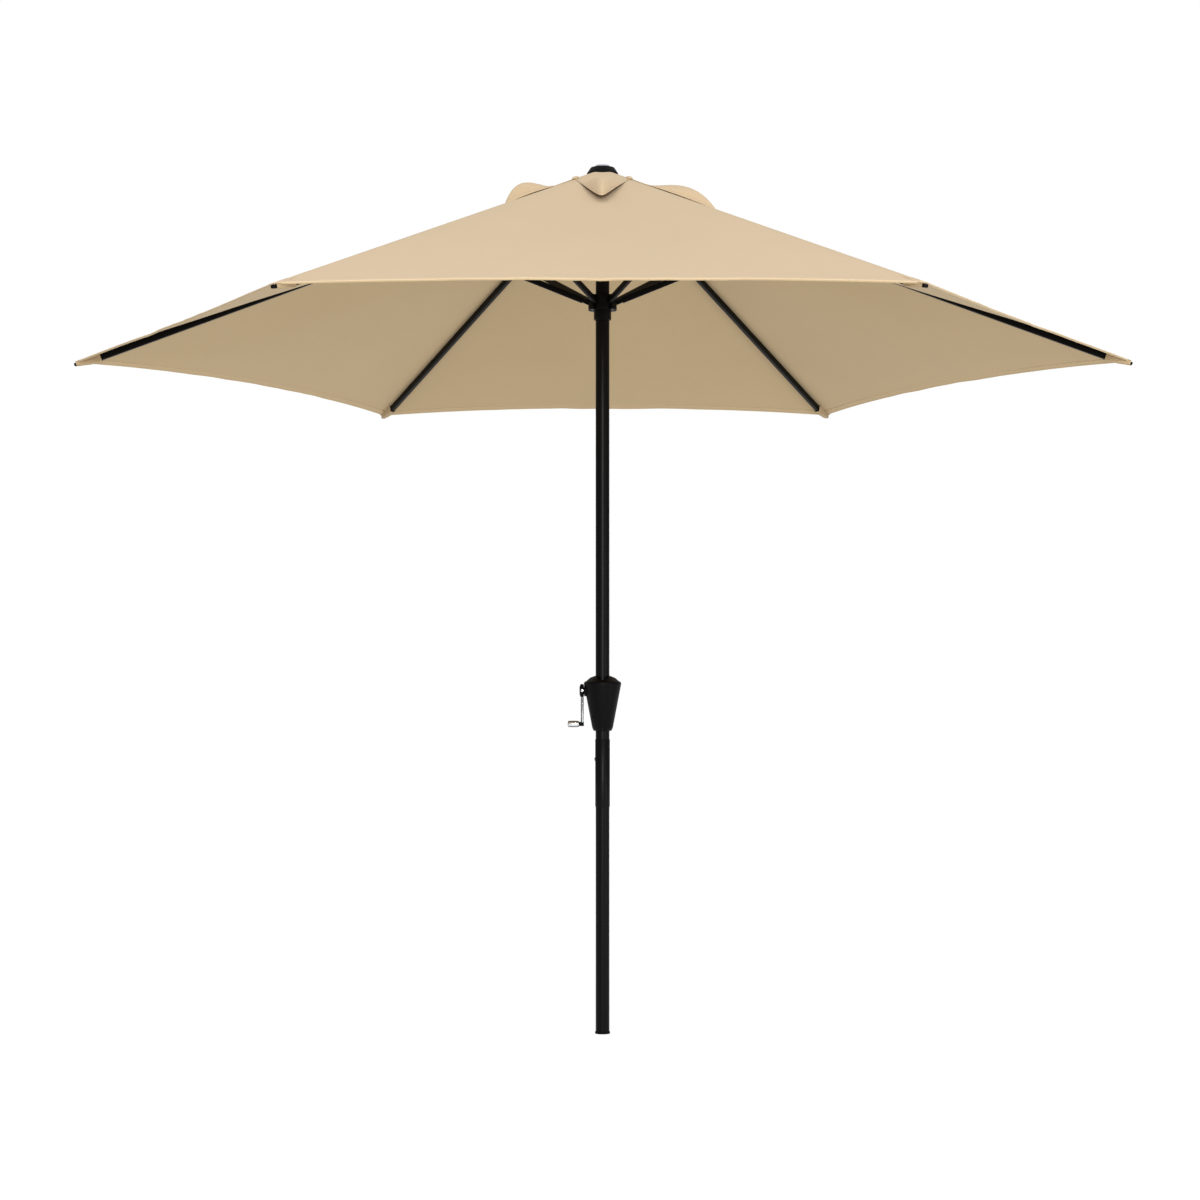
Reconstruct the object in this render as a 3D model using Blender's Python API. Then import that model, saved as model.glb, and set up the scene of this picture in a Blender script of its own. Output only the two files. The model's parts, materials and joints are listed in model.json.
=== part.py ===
"""Crank-lift patio umbrella: six ribs, hexagonal canopy with a vent cap, two-piece pole.

Metres, +Z up. The origin is the centre of the pole's flat lower end. Rib 1 points along +X
and the crank handle along -X. The umbrella is modelled open.
"""

import math

import bmesh
import bpy
from mathutils import Matrix, Vector

# Whole object
RIBS = 6
TIP_RADIUS = 1.46          # pole axis to the canopy's corners
APEX_Z = 2.386             # where the six ridges of the fabric would meet
RIDGE_DROP = 0.3658        # fall of a ridge for each metre outwards
GAP = 0.0003               # left between pieces that touch

# Hub and ribs
HUB_PIVOT = (0.036, 2.359)         # radius and height of a rib's hinge
RIB_SIZE = (0.012, 0.018)          # width and depth of the rectangular tube
RIB_WALL = 0.0012
RIB_LENGTH = 1.452
TIP_END = 1.5143                   # far end of the plug, along the rib
BRACKET_AT = 0.459                 # along the rib, from its hinge
BRACKET_DROP = 0.019               # from the rib's centre line to the stretcher's rivet
SLOT_WIDTH = 0.013

# Stretchers and runner
RUNNER_PIVOT = (0.040, 2.014)
STRETCHER_SIZE = (0.0098, 0.016)
RIVET_RADIUS = 0.0024
RUNNER_COLLAR = (1.965, 1.992, 0.024)      # lower end, upper end, radius
RUNNER_HEAD = (1.992, 2.034, 0.040)

# Pole
POLE_RADIUS = 0.019
POLE_WALL = 0.0012
POLE_JOINT_Z = 0.657
UPPER_POLE_TOP = 2.343
SLEEVE = (0.619, 0.805, 0.0203)            # lower end, upper end, outer radius
BUTTON_Z = 0.750
ROUND = 24                                 # sides of the large round pieces
HUB_SIDES = 36                             # a multiple of the number of ribs

# Crank
CRANK_Z = 0.939
NECK_SCREW_Z = 0.8335
SPOOL_RADIUS = 0.0111
CRANK_ARM_X = -0.0560
KNOB_Z = 0.847
KNOB_SPAN = (-0.0955, -0.0650)
KNOB_RADIUS = 0.009

# Lift cord
CORD_RADIUS = 0.0015
PULLEY_CENTRE = (0.0, 0.0115, 2.305)
PULLEY_GROOVE = 0.008

# Fabric
PANEL_THICKNESS = 0.0012
CAP_THICKNESS = 0.0010
HEM_SAG = 0.048                            # how far a hem curves in at mid-side
HOLLOW = 0.026                             # how far the middle of a gore sinks below flat
VENT_RADIUS = 0.125
CAP_PIN_RADIUS = 0.150                     # where the cap is stitched down on each rib
PETAL_NOSE = 0.032                         # how round a petal's end is
PETALS = [                                 # in each gore: length, start of its rise, its height
    (0.335, 0.172, 0.034), (0.330, 0.175, 0.032), (0.320, 0.178, 0.035),
    (0.302, 0.182, 0.037), (0.342, 0.170, 0.030), (0.352, 0.174, 0.031),
]
SEAM_GAP = 0.00075                         # half the gap between neighbouring panels

COLOURS = {
    # name: colour, roughness, metallic
    "powder_coat": ((0.022, 0.022, 0.023), 0.42, 0.0),
    "black_plastic": ((0.012, 0.012, 0.013), 0.5, 0.0),
    "chrome": ((0.72, 0.73, 0.74), 0.12, 1.0),
    "steel": ((0.45, 0.45, 0.46), 0.35, 1.0),
    "grey_plastic": ((0.42, 0.41, 0.47), 0.45, 0.0),
    "white_cord": ((0.62, 0.6, 0.56), 0.85, 0.0),
    "canvas": ((0.68, 0.53, 0.36), 0.9, 0.0),
}


# Making and placing shapes

def start_clean():
    for obj in list(bpy.data.objects):
        bpy.data.objects.remove(obj, do_unlink=True)


def finish(name):
    """The Principled material of one of the object's finishes."""
    found = bpy.data.materials.get(name)
    if found:
        return found
    colour, roughness, metallic = COLOURS[name]
    made = bpy.data.materials.new(name)
    made.use_nodes = True
    shader = made.node_tree.nodes["Principled BSDF"]
    shader.inputs["Base Color"].default_value = (*colour, 1.0)
    shader.inputs["Roughness"].default_value = roughness
    shader.inputs["Metallic"].default_value = metallic
    return made


def as_mesh(bm, name):
    bmesh.ops.remove_doubles(bm, verts=bm.verts, dist=1e-7)
    bmesh.ops.recalc_face_normals(bm, faces=bm.faces)
    mesh = bpy.data.meshes.new(name)
    bm.to_mesh(mesh)
    bm.free()
    return mesh


def new_object(name, mesh):
    obj = bpy.data.objects.new(name, mesh)
    bpy.context.scene.collection.objects.link(obj)
    return obj


def piece(name, mesh, look, at=(0, 0, 0), turn=(0, 0, 0), parent=None, smooth=True):
    """One sub-part, with its origin at the given place."""
    obj = new_object(name, mesh)
    if not mesh.materials:
        mesh.materials.append(finish(look))
        if smooth:
            mesh.shade_smooth()
            mesh.set_sharp_from_angle(angle=math.radians(35))
    obj.location, obj.rotation_euler, obj.parent = at, turn, parent
    return obj


def empty(name, at=(0, 0, 0), turn=(0, 0, 0)):
    obj = new_object(name, None)
    obj.location, obj.rotation_euler = at, turn
    return obj


def combined(name, base, adds=(), cuts=()):
    """A mesh made of base, joined with the shapes in adds, then cut by those in cuts."""
    body = new_object(name, base)
    tools = []
    for shapes, operation in ((adds, "UNION"), (cuts, "DIFFERENCE")):
        for shape in shapes:
            tool = new_object(f"{name}_tool", shape)
            tool.hide_render, tool.display_type = True, "WIRE"
            tools.append(tool)
            modifier = body.modifiers.new(operation, "BOOLEAN")
            modifier.operation, modifier.object = operation, tool
    graph = bpy.context.evaluated_depsgraph_get()
    mesh = bpy.data.meshes.new_from_object(body.evaluated_get(graph))
    for obj in [body, *tools]:
        bpy.data.objects.remove(obj, do_unlink=True)
    bm = bmesh.new()
    bm.from_mesh(mesh)
    bmesh.ops.remove_doubles(bm, verts=bm.verts, dist=1e-6)
    bmesh.ops.dissolve_degenerate(bm, edges=bm.edges, dist=1e-6)
    bm.to_mesh(mesh)
    bm.free()
    mesh.name = name
    return mesh


def box(low, high, name="box"):
    bm = bmesh.new()
    low, high = Vector(low), Vector(high)
    bmesh.ops.create_cube(bm, size=1.0)
    bmesh.ops.scale(bm, vec=high - low, verts=bm.verts)
    bmesh.ops.translate(bm, vec=(low + high) / 2, verts=bm.verts)
    return as_mesh(bm, name)


def rod(start, end, radius, sides=16, name="rod"):
    """A solid cylinder between two points."""
    start, end = Vector(start), Vector(end)
    along = end - start
    bm = bmesh.new()
    bmesh.ops.create_cone(bm, cap_ends=True, segments=sides, radius1=radius, radius2=radius,
                          depth=along.length)
    turn = along.to_track_quat("Z", "Y").to_matrix().to_4x4()
    bmesh.ops.transform(bm, matrix=Matrix.Translation((start + end) / 2) @ turn, verts=bm.verts)
    return as_mesh(bm, name)


def turned(profile, sides=ROUND, closed=True, name="turned", along_x=False):
    """A profile of (radius, height) points spun about +Z, or about +X with heights as x."""
    bm = bmesh.new()
    verts = [bm.verts.new((r, 0.0, z)) for r, z in profile]
    pairs = list(zip(verts, verts[1:]))
    if closed:
        pairs.append((verts[-1], verts[0]))
    edges = [bm.edges.new(pair) for pair in pairs]
    bmesh.ops.spin(bm, geom=verts + edges, cent=(0, 0, 0), axis=(0, 0, 1), dvec=(0, 0, 0),
                   angle=2 * math.pi, steps=sides, use_merge=True, use_duplicate=False)
    bmesh.ops.remove_doubles(bm, verts=bm.verts, dist=1e-6)
    bmesh.ops.dissolve_degenerate(bm, edges=bm.edges, dist=1e-7)
    if along_x:
        bmesh.ops.rotate(bm, cent=(0, 0, 0), matrix=Matrix.Rotation(math.pi / 2, 3, "Y"),
                         verts=bm.verts)
    return as_mesh(bm, name)


def ring(inner, outer, low, high, sides=ROUND, name="ring", along_x=False):
    profile = [(inner, low), (outer, low), (outer, high), (inner, high)]
    return turned(profile, sides, True, name, along_x)


def plate(outline, low_y, high_y, name="plate"):
    """A flat outline of (x, z) points, made solid between two values of y."""
    bm = bmesh.new()
    face = bm.faces.new([bm.verts.new((x, low_y, z)) for x, z in outline])
    made = bmesh.ops.extrude_face_region(bm, geom=[face])["geom"]
    moved = [v for v in made if isinstance(v, bmesh.types.BMVert)]
    bmesh.ops.translate(bm, vec=(0, high_y - low_y, 0), verts=moved)
    return as_mesh(bm, name)


def arc(cx, cz, radius, start_deg, end_deg, steps):
    """Points on an arc, as (x, z) pairs."""
    angles = [math.radians(start_deg + (end_deg - start_deg) * i / steps)
              for i in range(steps + 1)]
    return [(cx + radius * math.cos(a), cz + radius * math.sin(a)) for a in angles]


def rectangular_tube(width, depth, wall, start, end, name="tube"):
    """An open-ended tube along +X."""
    bm = bmesh.new()
    loops = []
    for x in (start, end):
        for inset in (0.0, wall):
            y, z = width / 2 - inset, depth / 2 - inset
            corners = ((y, z), (-y, z), (-y, -z), (y, -z))
            loops.append([bm.verts.new((x, cy, cz)) for cy, cz in corners])
    near_out, near_in, far_out, far_in = loops
    for a, b in ((near_out, far_out), (near_in, far_in), (near_out, near_in), (far_out, far_in)):
        for i in range(4):
            j = (i + 1) % 4
            bm.faces.new((a[i], a[j], b[j], b[i]))
    return as_mesh(bm, name)


def strip(points, thickness, width, name="strip"):
    """A flat spring: (x, z) points of its middle line, given a thickness and a width in y."""
    left, right = [], []
    for i, (x, z) in enumerate(points):
        before = Vector(points[max(i - 1, 0)])
        after = Vector(points[min(i + 1, len(points) - 1)])
        along = (after - before).normalized()
        across = Vector((-along.y, along.x)) * thickness / 2
        left.append((x + across.x, z + across.y))
        right.append((x - across.x, z - across.y))
    return plate(left + right[::-1], -width / 2, width / 2, name)


def cord(name, points, radius, look):
    """A round cord or wire through the points, with its ends closed."""
    curve = bpy.data.curves.new(name, "CURVE")
    curve.dimensions, curve.bevel_depth, curve.bevel_resolution = "3D", radius, 2
    curve.use_fill_caps, curve.resolution_u, curve.render_resolution_u = True, 1, 0
    spline = curve.splines.new("POLY")
    spline.points.add(len(points) - 1)
    for target, point in zip(spline.points, points):
        target.co = (*point, 1.0)
    curve.materials.append(finish(look))
    return new_object(name, curve)


# Pole

def make_pole():
    bore = POLE_RADIUS - POLE_WALL
    foot_rim = 0.006
    lower = ring(bore, POLE_RADIUS, foot_rim + GAP, POLE_JOINT_Z, name="lower_pole")
    piece("lower_pole", lower, "powder_coat")

    plug = [(0, 0), (0.0203, 0), (0.0206, 0.001), (0.0206, foot_rim), (bore - GAP, foot_rim),
            (bore - GAP, 0.030), (0.0165, 0.032), (0, 0.032)]
    piece("pole_foot_plug", turned(plug, closed=False), "black_plastic")

    low, high, outer = SLEEVE
    button_hole = rod((-0.03, 0, BUTTON_Z), (-0.005, 0, BUTTON_Z), 0.0042)
    sleeve = combined("pole_sleeve", ring(POLE_RADIUS + GAP, outer, low, high), cuts=[button_hole])
    piece("pole_sleeve", sleeve, "powder_coat")

    button_hole = rod((-0.03, 0, BUTTON_Z), (-0.005, 0, BUTTON_Z), 0.0042)
    axle_hole = rod((-0.03, 0, CRANK_Z), (0.03, 0, CRANK_Z), 0.0056)
    screw_holes = rod((0, -0.03, NECK_SCREW_Z), (0, 0.03, NECK_SCREW_Z), 0.0019, 12)
    _, cy, cz = PULLEY_CENTRE
    pin_hole = rod((-0.03, cy, cz), (0.03, cy, cz), 0.0019, 12)
    cord_slot = box((-0.005, 0.004, cz - 0.017), (0.005, 0.03, cz + 0.014))
    upper = combined("upper_pole", ring(bore, POLE_RADIUS, POLE_JOINT_Z + GAP, UPPER_POLE_TOP),
                     cuts=[button_hole, axle_hole, screw_holes, pin_hole, cord_slot])
    piece("upper_pole", upper, "powder_coat")

    plug = ring(0.0043, bore - GAP, 2.326, UPPER_POLE_TOP - 0.001)
    piece("pole_top_plug", plug, "black_plastic")


def make_lock_button():
    """The spring button that pins the two halves of the pole."""
    outline = [(0, -0.0230), (0.0026, -0.0228), (0.0036, -0.0218), (0.0038, -0.0200),
               (0.0038, -0.0166), (0.0055, -0.0166), (0.0055, -0.0152), (0, -0.0152)]
    button = turned([(r, x) for r, x in outline], 16, False, along_x=True)
    piece("lock_button", button, "steel", at=(0, 0, BUTTON_Z))
    inner_leg = [(-0.0142, 0.006), (-0.0142, -0.006), (-0.0125, -0.030)]
    bend = arc(-0.0005, -0.040, 0.0125, 190, 350, 8)
    outer_leg = [(0.0140, -0.020), (0.0160, -0.004), (0.0160, 0.006)]
    spring = strip(inner_leg + bend + outer_leg, 0.0008, 0.006, "lock_spring")
    piece("lock_spring", spring, "steel", at=(0, 0, BUTTON_Z))


# Crank

def housing_half(name, side):
    """Half of the conical gear housing; side is -1 for the front and 1 for the back."""
    outer = [(0.0195, 0.828), (0.024, 0.828), (0.0285, 0.836), (0.0510, 0.955),
             *arc(0.0450, 0.958, 0.0065, 5, 75, 4), (0.034, 0.9735), (0.0195, 0.9795)]
    inner = [(0.0195, 0.9765), (0.033, 0.9708), (0.0445, 0.9615), (0.0481, 0.9570),
             (0.0262, 0.8390), (0.0195, 0.8390)]
    far = 0.08
    other_half = box((-far, -0.0002, 0.8), (far, far, 1.0))
    if side > 0:
        other_half = box((-far, -far, 0.8), (far, 0.0002, 1.0))
    saddle = rod((0, -far, 0.989), (0, far, 0.989), 0.021, 20)
    axle_hole = rod((-far, 0, CRANK_Z), (0, 0, CRANK_Z), 0.0062)
    screw = rod((0, side * 0.01, NECK_SCREW_Z), (0, side * 0.04, NECK_SCREW_Z), 0.0020, 12)
    seat = rod((0, side * 0.0245, NECK_SCREW_Z), (0, side * 0.04, NECK_SCREW_Z), 0.0034)
    mesh = combined(name, turned(outer + inner), cuts=[other_half, saddle, axle_hole, screw, seat])
    piece(name, mesh, "black_plastic")


def neck_screw(name, side):
    """One of two screws that hold the housing halves to the pole."""
    profile = [(0, 0.0181), (0.0016, 0.0181), (0.0016, 0.0248), (0.0030, 0.0248),
               (0.0030, 0.0258), (0.0022, 0.0265), (0, 0.0265)]
    mesh = turned(profile, 12, False, name)
    turn = (-side * math.pi / 2, 0, 0)
    piece(name, mesh, "steel", at=(0, 0, NECK_SCREW_Z), turn=turn)


def make_crank():
    housing_half("crank_housing_front", -1)
    housing_half("crank_housing_back", 1)
    neck_screw("housing_screw_front", -1)
    neck_screw("housing_screw_back", 1)
    at = (0, 0, CRANK_Z)

    spool_bore = 0.0053
    axle = turned([(0, -0.0512), (0.005, -0.0512), (0.005, 0.0230), (0, 0.0230)], 16, False,
                  along_x=True)
    piece("crank_axle", axle, "steel", at=at)
    spool = [(spool_bore, -0.008), (0.0144, -0.008), (0.0144, -0.0065), (SPOOL_RADIUS, -0.0065),
             (SPOOL_RADIUS, 0.0065), (0.0144, 0.0065), (0.0144, 0.008), (spool_bore, 0.008)]
    piece("crank_spool", turned(spool, 16, along_x=True), "black_plastic", at=at)

    bush = [(0.0054, -0.0412), (0.0085, -0.0412), (0.0085, -0.0265), (0.0120, -0.0265),
            (0.0120, -0.0215), (0.0054, -0.0215)]
    piece("brake_bush", turned(bush, 20, along_x=True), "steel", at=at)
    turns, per_turn, radius = 4, 9, 0.0098
    start, pitch = -0.0280, -0.0030
    coil = []
    for i in range(turns * per_turn + 1):
        a = 2 * math.pi * i / per_turn
        x = start + pitch * i / per_turn
        coil.append((x, radius * math.cos(a), CRANK_Z + radius * math.sin(a)))
    cord("brake_spring", coil, 0.0008, "steel")

    hub = [(0, -0.0516), (0.0053, -0.0516), (0.0053, -0.0497), (0.0085, -0.0497),
           (0.0090, -0.0512), (0.0150, -0.0514), (0.0175, -0.0530), (0.0180, -0.0550),
           (0.0180, -0.0590), (0.0165, -0.0615), (0.0110, -0.0632), (0, -0.0636)]
    flats = [box((-0.07, side * 0.0205 - 0.004, -0.02), (-0.04, side * 0.0205 + 0.004, 0.006))
             for side in (-1, 1)]
    x = CRANK_ARM_X
    arm_hole = rod((x, 0, -0.03), (x, 0, 0.0062), 0.0041)
    rivet_hole = rod((x, -0.03, 0), (x, 0.03, 0), 0.0023, 12)
    hub_mesh = combined("crank_hub", turned(hub, 20, False, along_x=True),
                        cuts=[*flats, arm_hole, rivet_hole])
    piece("crank_hub", hub_mesh, "black_plastic", at=at)

    drop = KNOB_Z - CRANK_Z
    bend = 0.0055
    corner = arc(x - bend, drop + bend, bend, 0, -90, 5)
    path = [(x, 0, 0.0058), (x, 0, -0.040)] + [(px, 0, pz) for px, pz in corner]
    path.append((x - bend - 0.0005, 0, drop))
    arm = cord("crank_arm_shape", path, 0.0038, "chrome")
    graph = bpy.context.evaluated_depsgraph_get()
    arm_mesh = bpy.data.meshes.new_from_object(arm.evaluated_get(graph))
    bpy.data.objects.remove(arm, do_unlink=True)
    arm_mesh.materials.clear()
    rivet_hole = rod((x, -0.03, 0), (x, 0.03, 0), 0.0023, 12)
    piece("crank_arm", combined("crank_arm", arm_mesh, cuts=[rivet_hole]), "chrome", at=at)

    head, shank = 0.0042, 0.0020
    rivet = [(0, -0.0180), (0.0032, -0.0180), (head, -0.0172), (head, -0.0168),
             (shank, -0.0168), (shank, 0.0168), (head, 0.0168), (head, 0.0172),
             (0.0032, 0.0180), (0, 0.0180)]
    piece("crank_rivet", turned(rivet, 16, False), "chrome",
          at=(x, 0, CRANK_Z), turn=(math.pi / 2, 0, 0))

    far, near = KNOB_SPAN
    arm_end = x - bend - 0.0008
    pin = [(0, arm_end), (0.0056, arm_end), (0.0056, near + GAP), (0.0025, near + GAP),
           (0.0025, far + 0.003), (0, far + 0.003)]
    piece("knob_pin", turned(pin, 20, False, along_x=True), "black_plastic", at=(0, 0, KNOB_Z))
    knob = [(0, far + 0.0026), (0.0029, far + 0.0026), (0.0029, near), (0.0075, near),
            (0.0084, near - 0.0012), (KNOB_RADIUS, near - 0.006), (KNOB_RADIUS, far + 0.004),
            (0.0078, far + 0.0010), (0.0060, far), (0, far)]
    piece("crank_knob", turned(knob, 18, False, along_x=True), "chrome", at=(0, 0, KNOB_Z))


# Lift cord

def make_lift_cord():
    _, cy, cz = PULLEY_CENTRE
    wheel = [(0.0019, -0.0035), (0.0100, -0.0035), (0.0100, -0.0028), (PULLEY_GROOVE, -0.0014),
             (PULLEY_GROOVE, 0.0014), (0.0100, 0.0028), (0.0100, 0.0035), (0.0019, 0.0035)]
    piece("cord_pulley", turned(wheel, 18, along_x=True), "grey_plastic", at=PULLEY_CENTRE)
    piece("pulley_pin", rod((-0.0165, 0, 0), (0.0165, 0, 0), 0.0015, 12), "steel",
          at=PULLEY_CENTRE)

    reach = PULLEY_GROOVE + CORD_RADIUS + GAP
    spool_side = SPOOL_RADIUS + CORD_RADIUS + GAP
    over = [(0, y, z) for y, z in arc(cy, cz, reach, 180, 0, 10)]
    inner = [(0, spool_side, CRANK_Z + 0.004), (0, spool_side - 0.0005, CRANK_Z + 0.060),
             (0, cy - reach + 0.001, cz - 0.080), *over]
    cord("lift_cord_inner", inner, CORD_RADIUS, "white_cord")
    y = cy + reach
    outer = [(0, y, cz - 0.0006), (0, y, cz - 0.08), (0, y, cz - 0.18),
             (0, y, RUNNER_HEAD[1] + GAP)]
    cord("lift_cord_outer", outer, CORD_RADIUS, "white_cord")


# Hub, finial and runner

def radial_slots(inner, low, high):
    """Cutters for the slots that the ribs or stretchers hinge in."""
    cutters = []
    for i in range(RIBS):
        mesh = box((inner, -SLOT_WIDTH / 2, low), (0.06, SLOT_WIDTH / 2, high))
        mesh.transform(Matrix.Rotation(2 * math.pi * i / RIBS, 4, "Z"))
        cutters.append(mesh)
    return cutters


def make_hub():
    r, z = HUB_PIVOT
    top = 2.3705
    shape = [(POLE_RADIUS + GAP, 2.325), (0.0250, 2.325), (0.0250, 2.344), (0.0410, 2.344),
             (0.0425, 2.346), (0.0425, top), (POLE_RADIUS + GAP, top)]
    groove = ring(r - 0.0019, r + 0.0019, z - 0.0020, top + 0.01, HUB_SIDES)
    hub = combined("top_hub", turned(shape, HUB_SIDES),
                   cuts=[*radial_slots(0.026, 2.34, top + 0.01), groove])
    piece("top_hub", hub, "black_plastic")

    wire = [(r + 0.0015 * math.cos(a), z + 0.0015 * math.sin(a))
            for a in (math.pi * i / 3 for i in range(6))]
    piece("hub_ring_wire", turned(wire, HUB_SIDES), "steel")

    base, neck = 2.3708, 2.390
    cone = [(0.0043, base), (0.0440, base), (0.0440, base + 0.0025), (0.0428, base + 0.005),
            (0.0345, neck - 0.0015), (0.0325, neck), (0.0085, neck), (0.0085, neck - 0.0080),
            (0.0043, neck - 0.0080)]
    piece("finial", turned(cone, 28), "black_plastic")
    bolt = [(0, 2.328), (0.0040, 2.328), (0.0040, neck - 0.0077), (0.0070, neck - 0.0077),
            (0.0070, neck - 0.0022), (0, neck - 0.0022)]
    piece("finial_bolt", turned(bolt, 16, False), "steel")
    cap = [(0, neck + GAP), (0.0195, neck + GAP), (0.0195, 2.3945), (0.0183, 2.3963),
           (0.0160, 2.3970), (0, 2.3970)]
    piece("finial_cap", turned(cap, 20, False), "grey_plastic")


def make_runner():
    low, mid, collar = RUNNER_COLLAR
    top, outer = RUNNER_HEAD[1:]
    bore = POLE_RADIUS + 0.0006
    shape = [(bore, low), (collar - 0.001, low), (collar, low + 0.001), (collar, mid),
             (outer - 0.0015, mid), (outer, mid + 0.0015), (outer, top - 0.0015),
             (outer - 0.0015, top), (bore, top)]
    runner = combined("runner", turned(shape, HUB_SIDES),
                      cuts=radial_slots(0.031, mid - 0.001, top + 0.01))
    piece("runner", runner, "black_plastic")


# Ribs and stretchers

def slope():
    return math.atan(RIDGE_DROP)


def bracket_pivot():
    """Radius and height of the rivet that joins a stretcher to its rib."""
    r, z = HUB_PIVOT
    s, c = math.sin(slope()), math.cos(slope())
    return (r + BRACKET_AT * c - BRACKET_DROP * s, z - BRACKET_AT * s - BRACKET_DROP * c)


def rib_mesh():
    """Along +X from its hinge, with the stretcher's bracket below."""
    width, depth = RIB_SIZE
    nose_r = 0.009
    tube = rectangular_tube(width, depth, RIB_WALL, 0.009, RIB_LENGTH, "rib")
    nose = plate([*arc(0, 0, nose_r, 90, 270, 6), (0.022, -0.0070), (0.022, 0.0070)],
                 -0.0055, 0.0055)
    ears = []
    for side in (-1, 1):
        inner, outer = sorted((side * 0.0054, side * 0.0072))
        outline = [(BRACKET_AT - 0.016, 0.004), (BRACKET_AT - 0.016, -0.008),
                   *arc(BRACKET_AT, -BRACKET_DROP, 0.007, 180, 360, 5),
                   (BRACKET_AT + 0.016, -0.008), (BRACKET_AT + 0.016, 0.004)]
        ears.append(plate(outline, inner, outer))
    rivet = rod((BRACKET_AT, -0.0080, -BRACKET_DROP), (BRACKET_AT, 0.0080, -BRACKET_DROP),
                RIVET_RADIUS, 8)
    wire_hole = rod((0, -0.01, 0), (0, 0.01, 0), 0.0026, 10)
    return combined("rib", tube, adds=[nose, *ears, rivet], cuts=[wire_hole])


def tip_mesh():
    """The moulded end that plugs a rib and carries the corner of the canopy."""
    width, depth = RIB_SIZE
    y, z = width / 2 - RIB_WALL - GAP, depth / 2 - RIB_WALL - GAP
    insert = box((RIB_LENGTH - 0.022, -y, -z), (RIB_LENGTH + 0.004, y, z))
    start, top, round_end = RIB_LENGTH + GAP, 0.0092, 0.0030
    cap = plate([(start, top), (start, -top), (start + 0.004, -top),
                 *arc(TIP_END - round_end, 0.0042, round_end, -80, 0, 3),
                 *arc(TIP_END - round_end, top - round_end, round_end, 0, 90, 3)],
                -0.0062, 0.0062)
    return combined("rib_tip", cap, adds=[insert])


def stretcher_mesh(length):
    """Along +X from the rivet on the rib to the runner."""
    width, depth = STRETCHER_SIZE
    wall = 0.0011
    tube = rectangular_tube(width, depth, wall, 0.016, length - 0.016, "stretcher")
    adds = []
    for end, start_deg, reach in ((0.0, 90, 0.024), (length, -90, length - 0.024)):
        outline = [*arc(end, 0, 0.0062, start_deg, start_deg + 180, 5)]
        z = 0.0042
        outline += [(reach, -z), (reach, z)] if end == 0 else [(reach, z), (reach, -z)]
        adds.append(plate(outline, -width / 2 + 0.0003, width / 2 - 0.0003))
    adds.append(rod((length, -0.0060, 0), (length, 0.0060, 0), 0.0016, 6))
    hole = rod((0, -0.01, 0), (0, 0.01, 0), RIVET_RADIUS + 0.0005, 10)
    drain_at = length - 0.060
    drain = rod((drain_at, 0, 0.001), (drain_at, 0, 0.010), 0.0015, 6)
    return combined("stretcher", tube, adds=adds, cuts=[hole, drain])


def make_frame(spokes):
    r, z = bracket_pivot()
    runner_r, runner_z = RUNNER_PIVOT
    along = Vector((runner_r - r, runner_z - z))
    rise = math.atan2(z - runner_z, r - runner_r)
    rib, tip, stretcher = rib_mesh(), tip_mesh(), stretcher_mesh(along.length)
    hinge = (HUB_PIVOT[0], 0, HUB_PIVOT[1])
    for i, spoke in enumerate(spokes, 1):
        lie = (0, slope(), 0)
        piece(f"rib_{i}", rib, "powder_coat", hinge, lie, spoke)
        piece(f"rib_tip_{i}", tip, "black_plastic", hinge, lie, spoke)
        piece(f"stretcher_{i}", stretcher, "powder_coat", (r, 0, z), (0, math.pi - rise, 0), spoke)


# Fabric

HALF = math.pi / RIBS


def on_slope(x, y, lift=0.0):
    """A point of the fabric above (x, y), beside the ridge along +X."""
    outwards = x * math.cos(HALF) + abs(y) * math.sin(HALF)
    return Vector((x, y, APEX_Z - RIDGE_DROP / math.cos(HALF) * outwards + lift))


def sheet_solid(rows, thickness, name):
    """A closed solid from rows of points on its upper face, all rows equally long."""
    bm = bmesh.new()
    grids = []
    for drop in (0.0, thickness):
        grids.append([[bm.verts.new(p - Vector((0, 0, drop))) for p in row] for row in rows])
    top, bottom = grids
    for i in range(len(rows) - 1):
        for j in range(len(rows[0]) - 1):
            for g in grids:
                bm.faces.new((g[i][j], g[i + 1][j], g[i + 1][j + 1], g[i][j + 1]))
    last = len(rows) - 1, len(rows[0]) - 1
    rim = [(i, 0) for i in range(last[0])] + [(last[0], j) for j in range(last[1])]
    rim += [(i, last[1]) for i in range(last[0], 0, -1)] + [(0, j) for j in range(last[1], 0, -1)]
    for (i, j), (k, m) in zip(rim, rim[1:] + rim[:1]):
        bm.faces.new((top[i][j], top[k][m], bottom[k][m], bottom[i][j]))
    return as_mesh(bm, name)


def beside_mid_line(x, y):
    """Keeps a point clear of the neighbouring panel at the middle of the gore."""
    across = abs(y) * math.cos(HALF) - x * math.sin(HALF) + SEAM_GAP
    if across > 0:
        x += across * math.sin(HALF)
        y -= math.copysign(across * math.cos(HALF), y)
    return x, y


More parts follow.
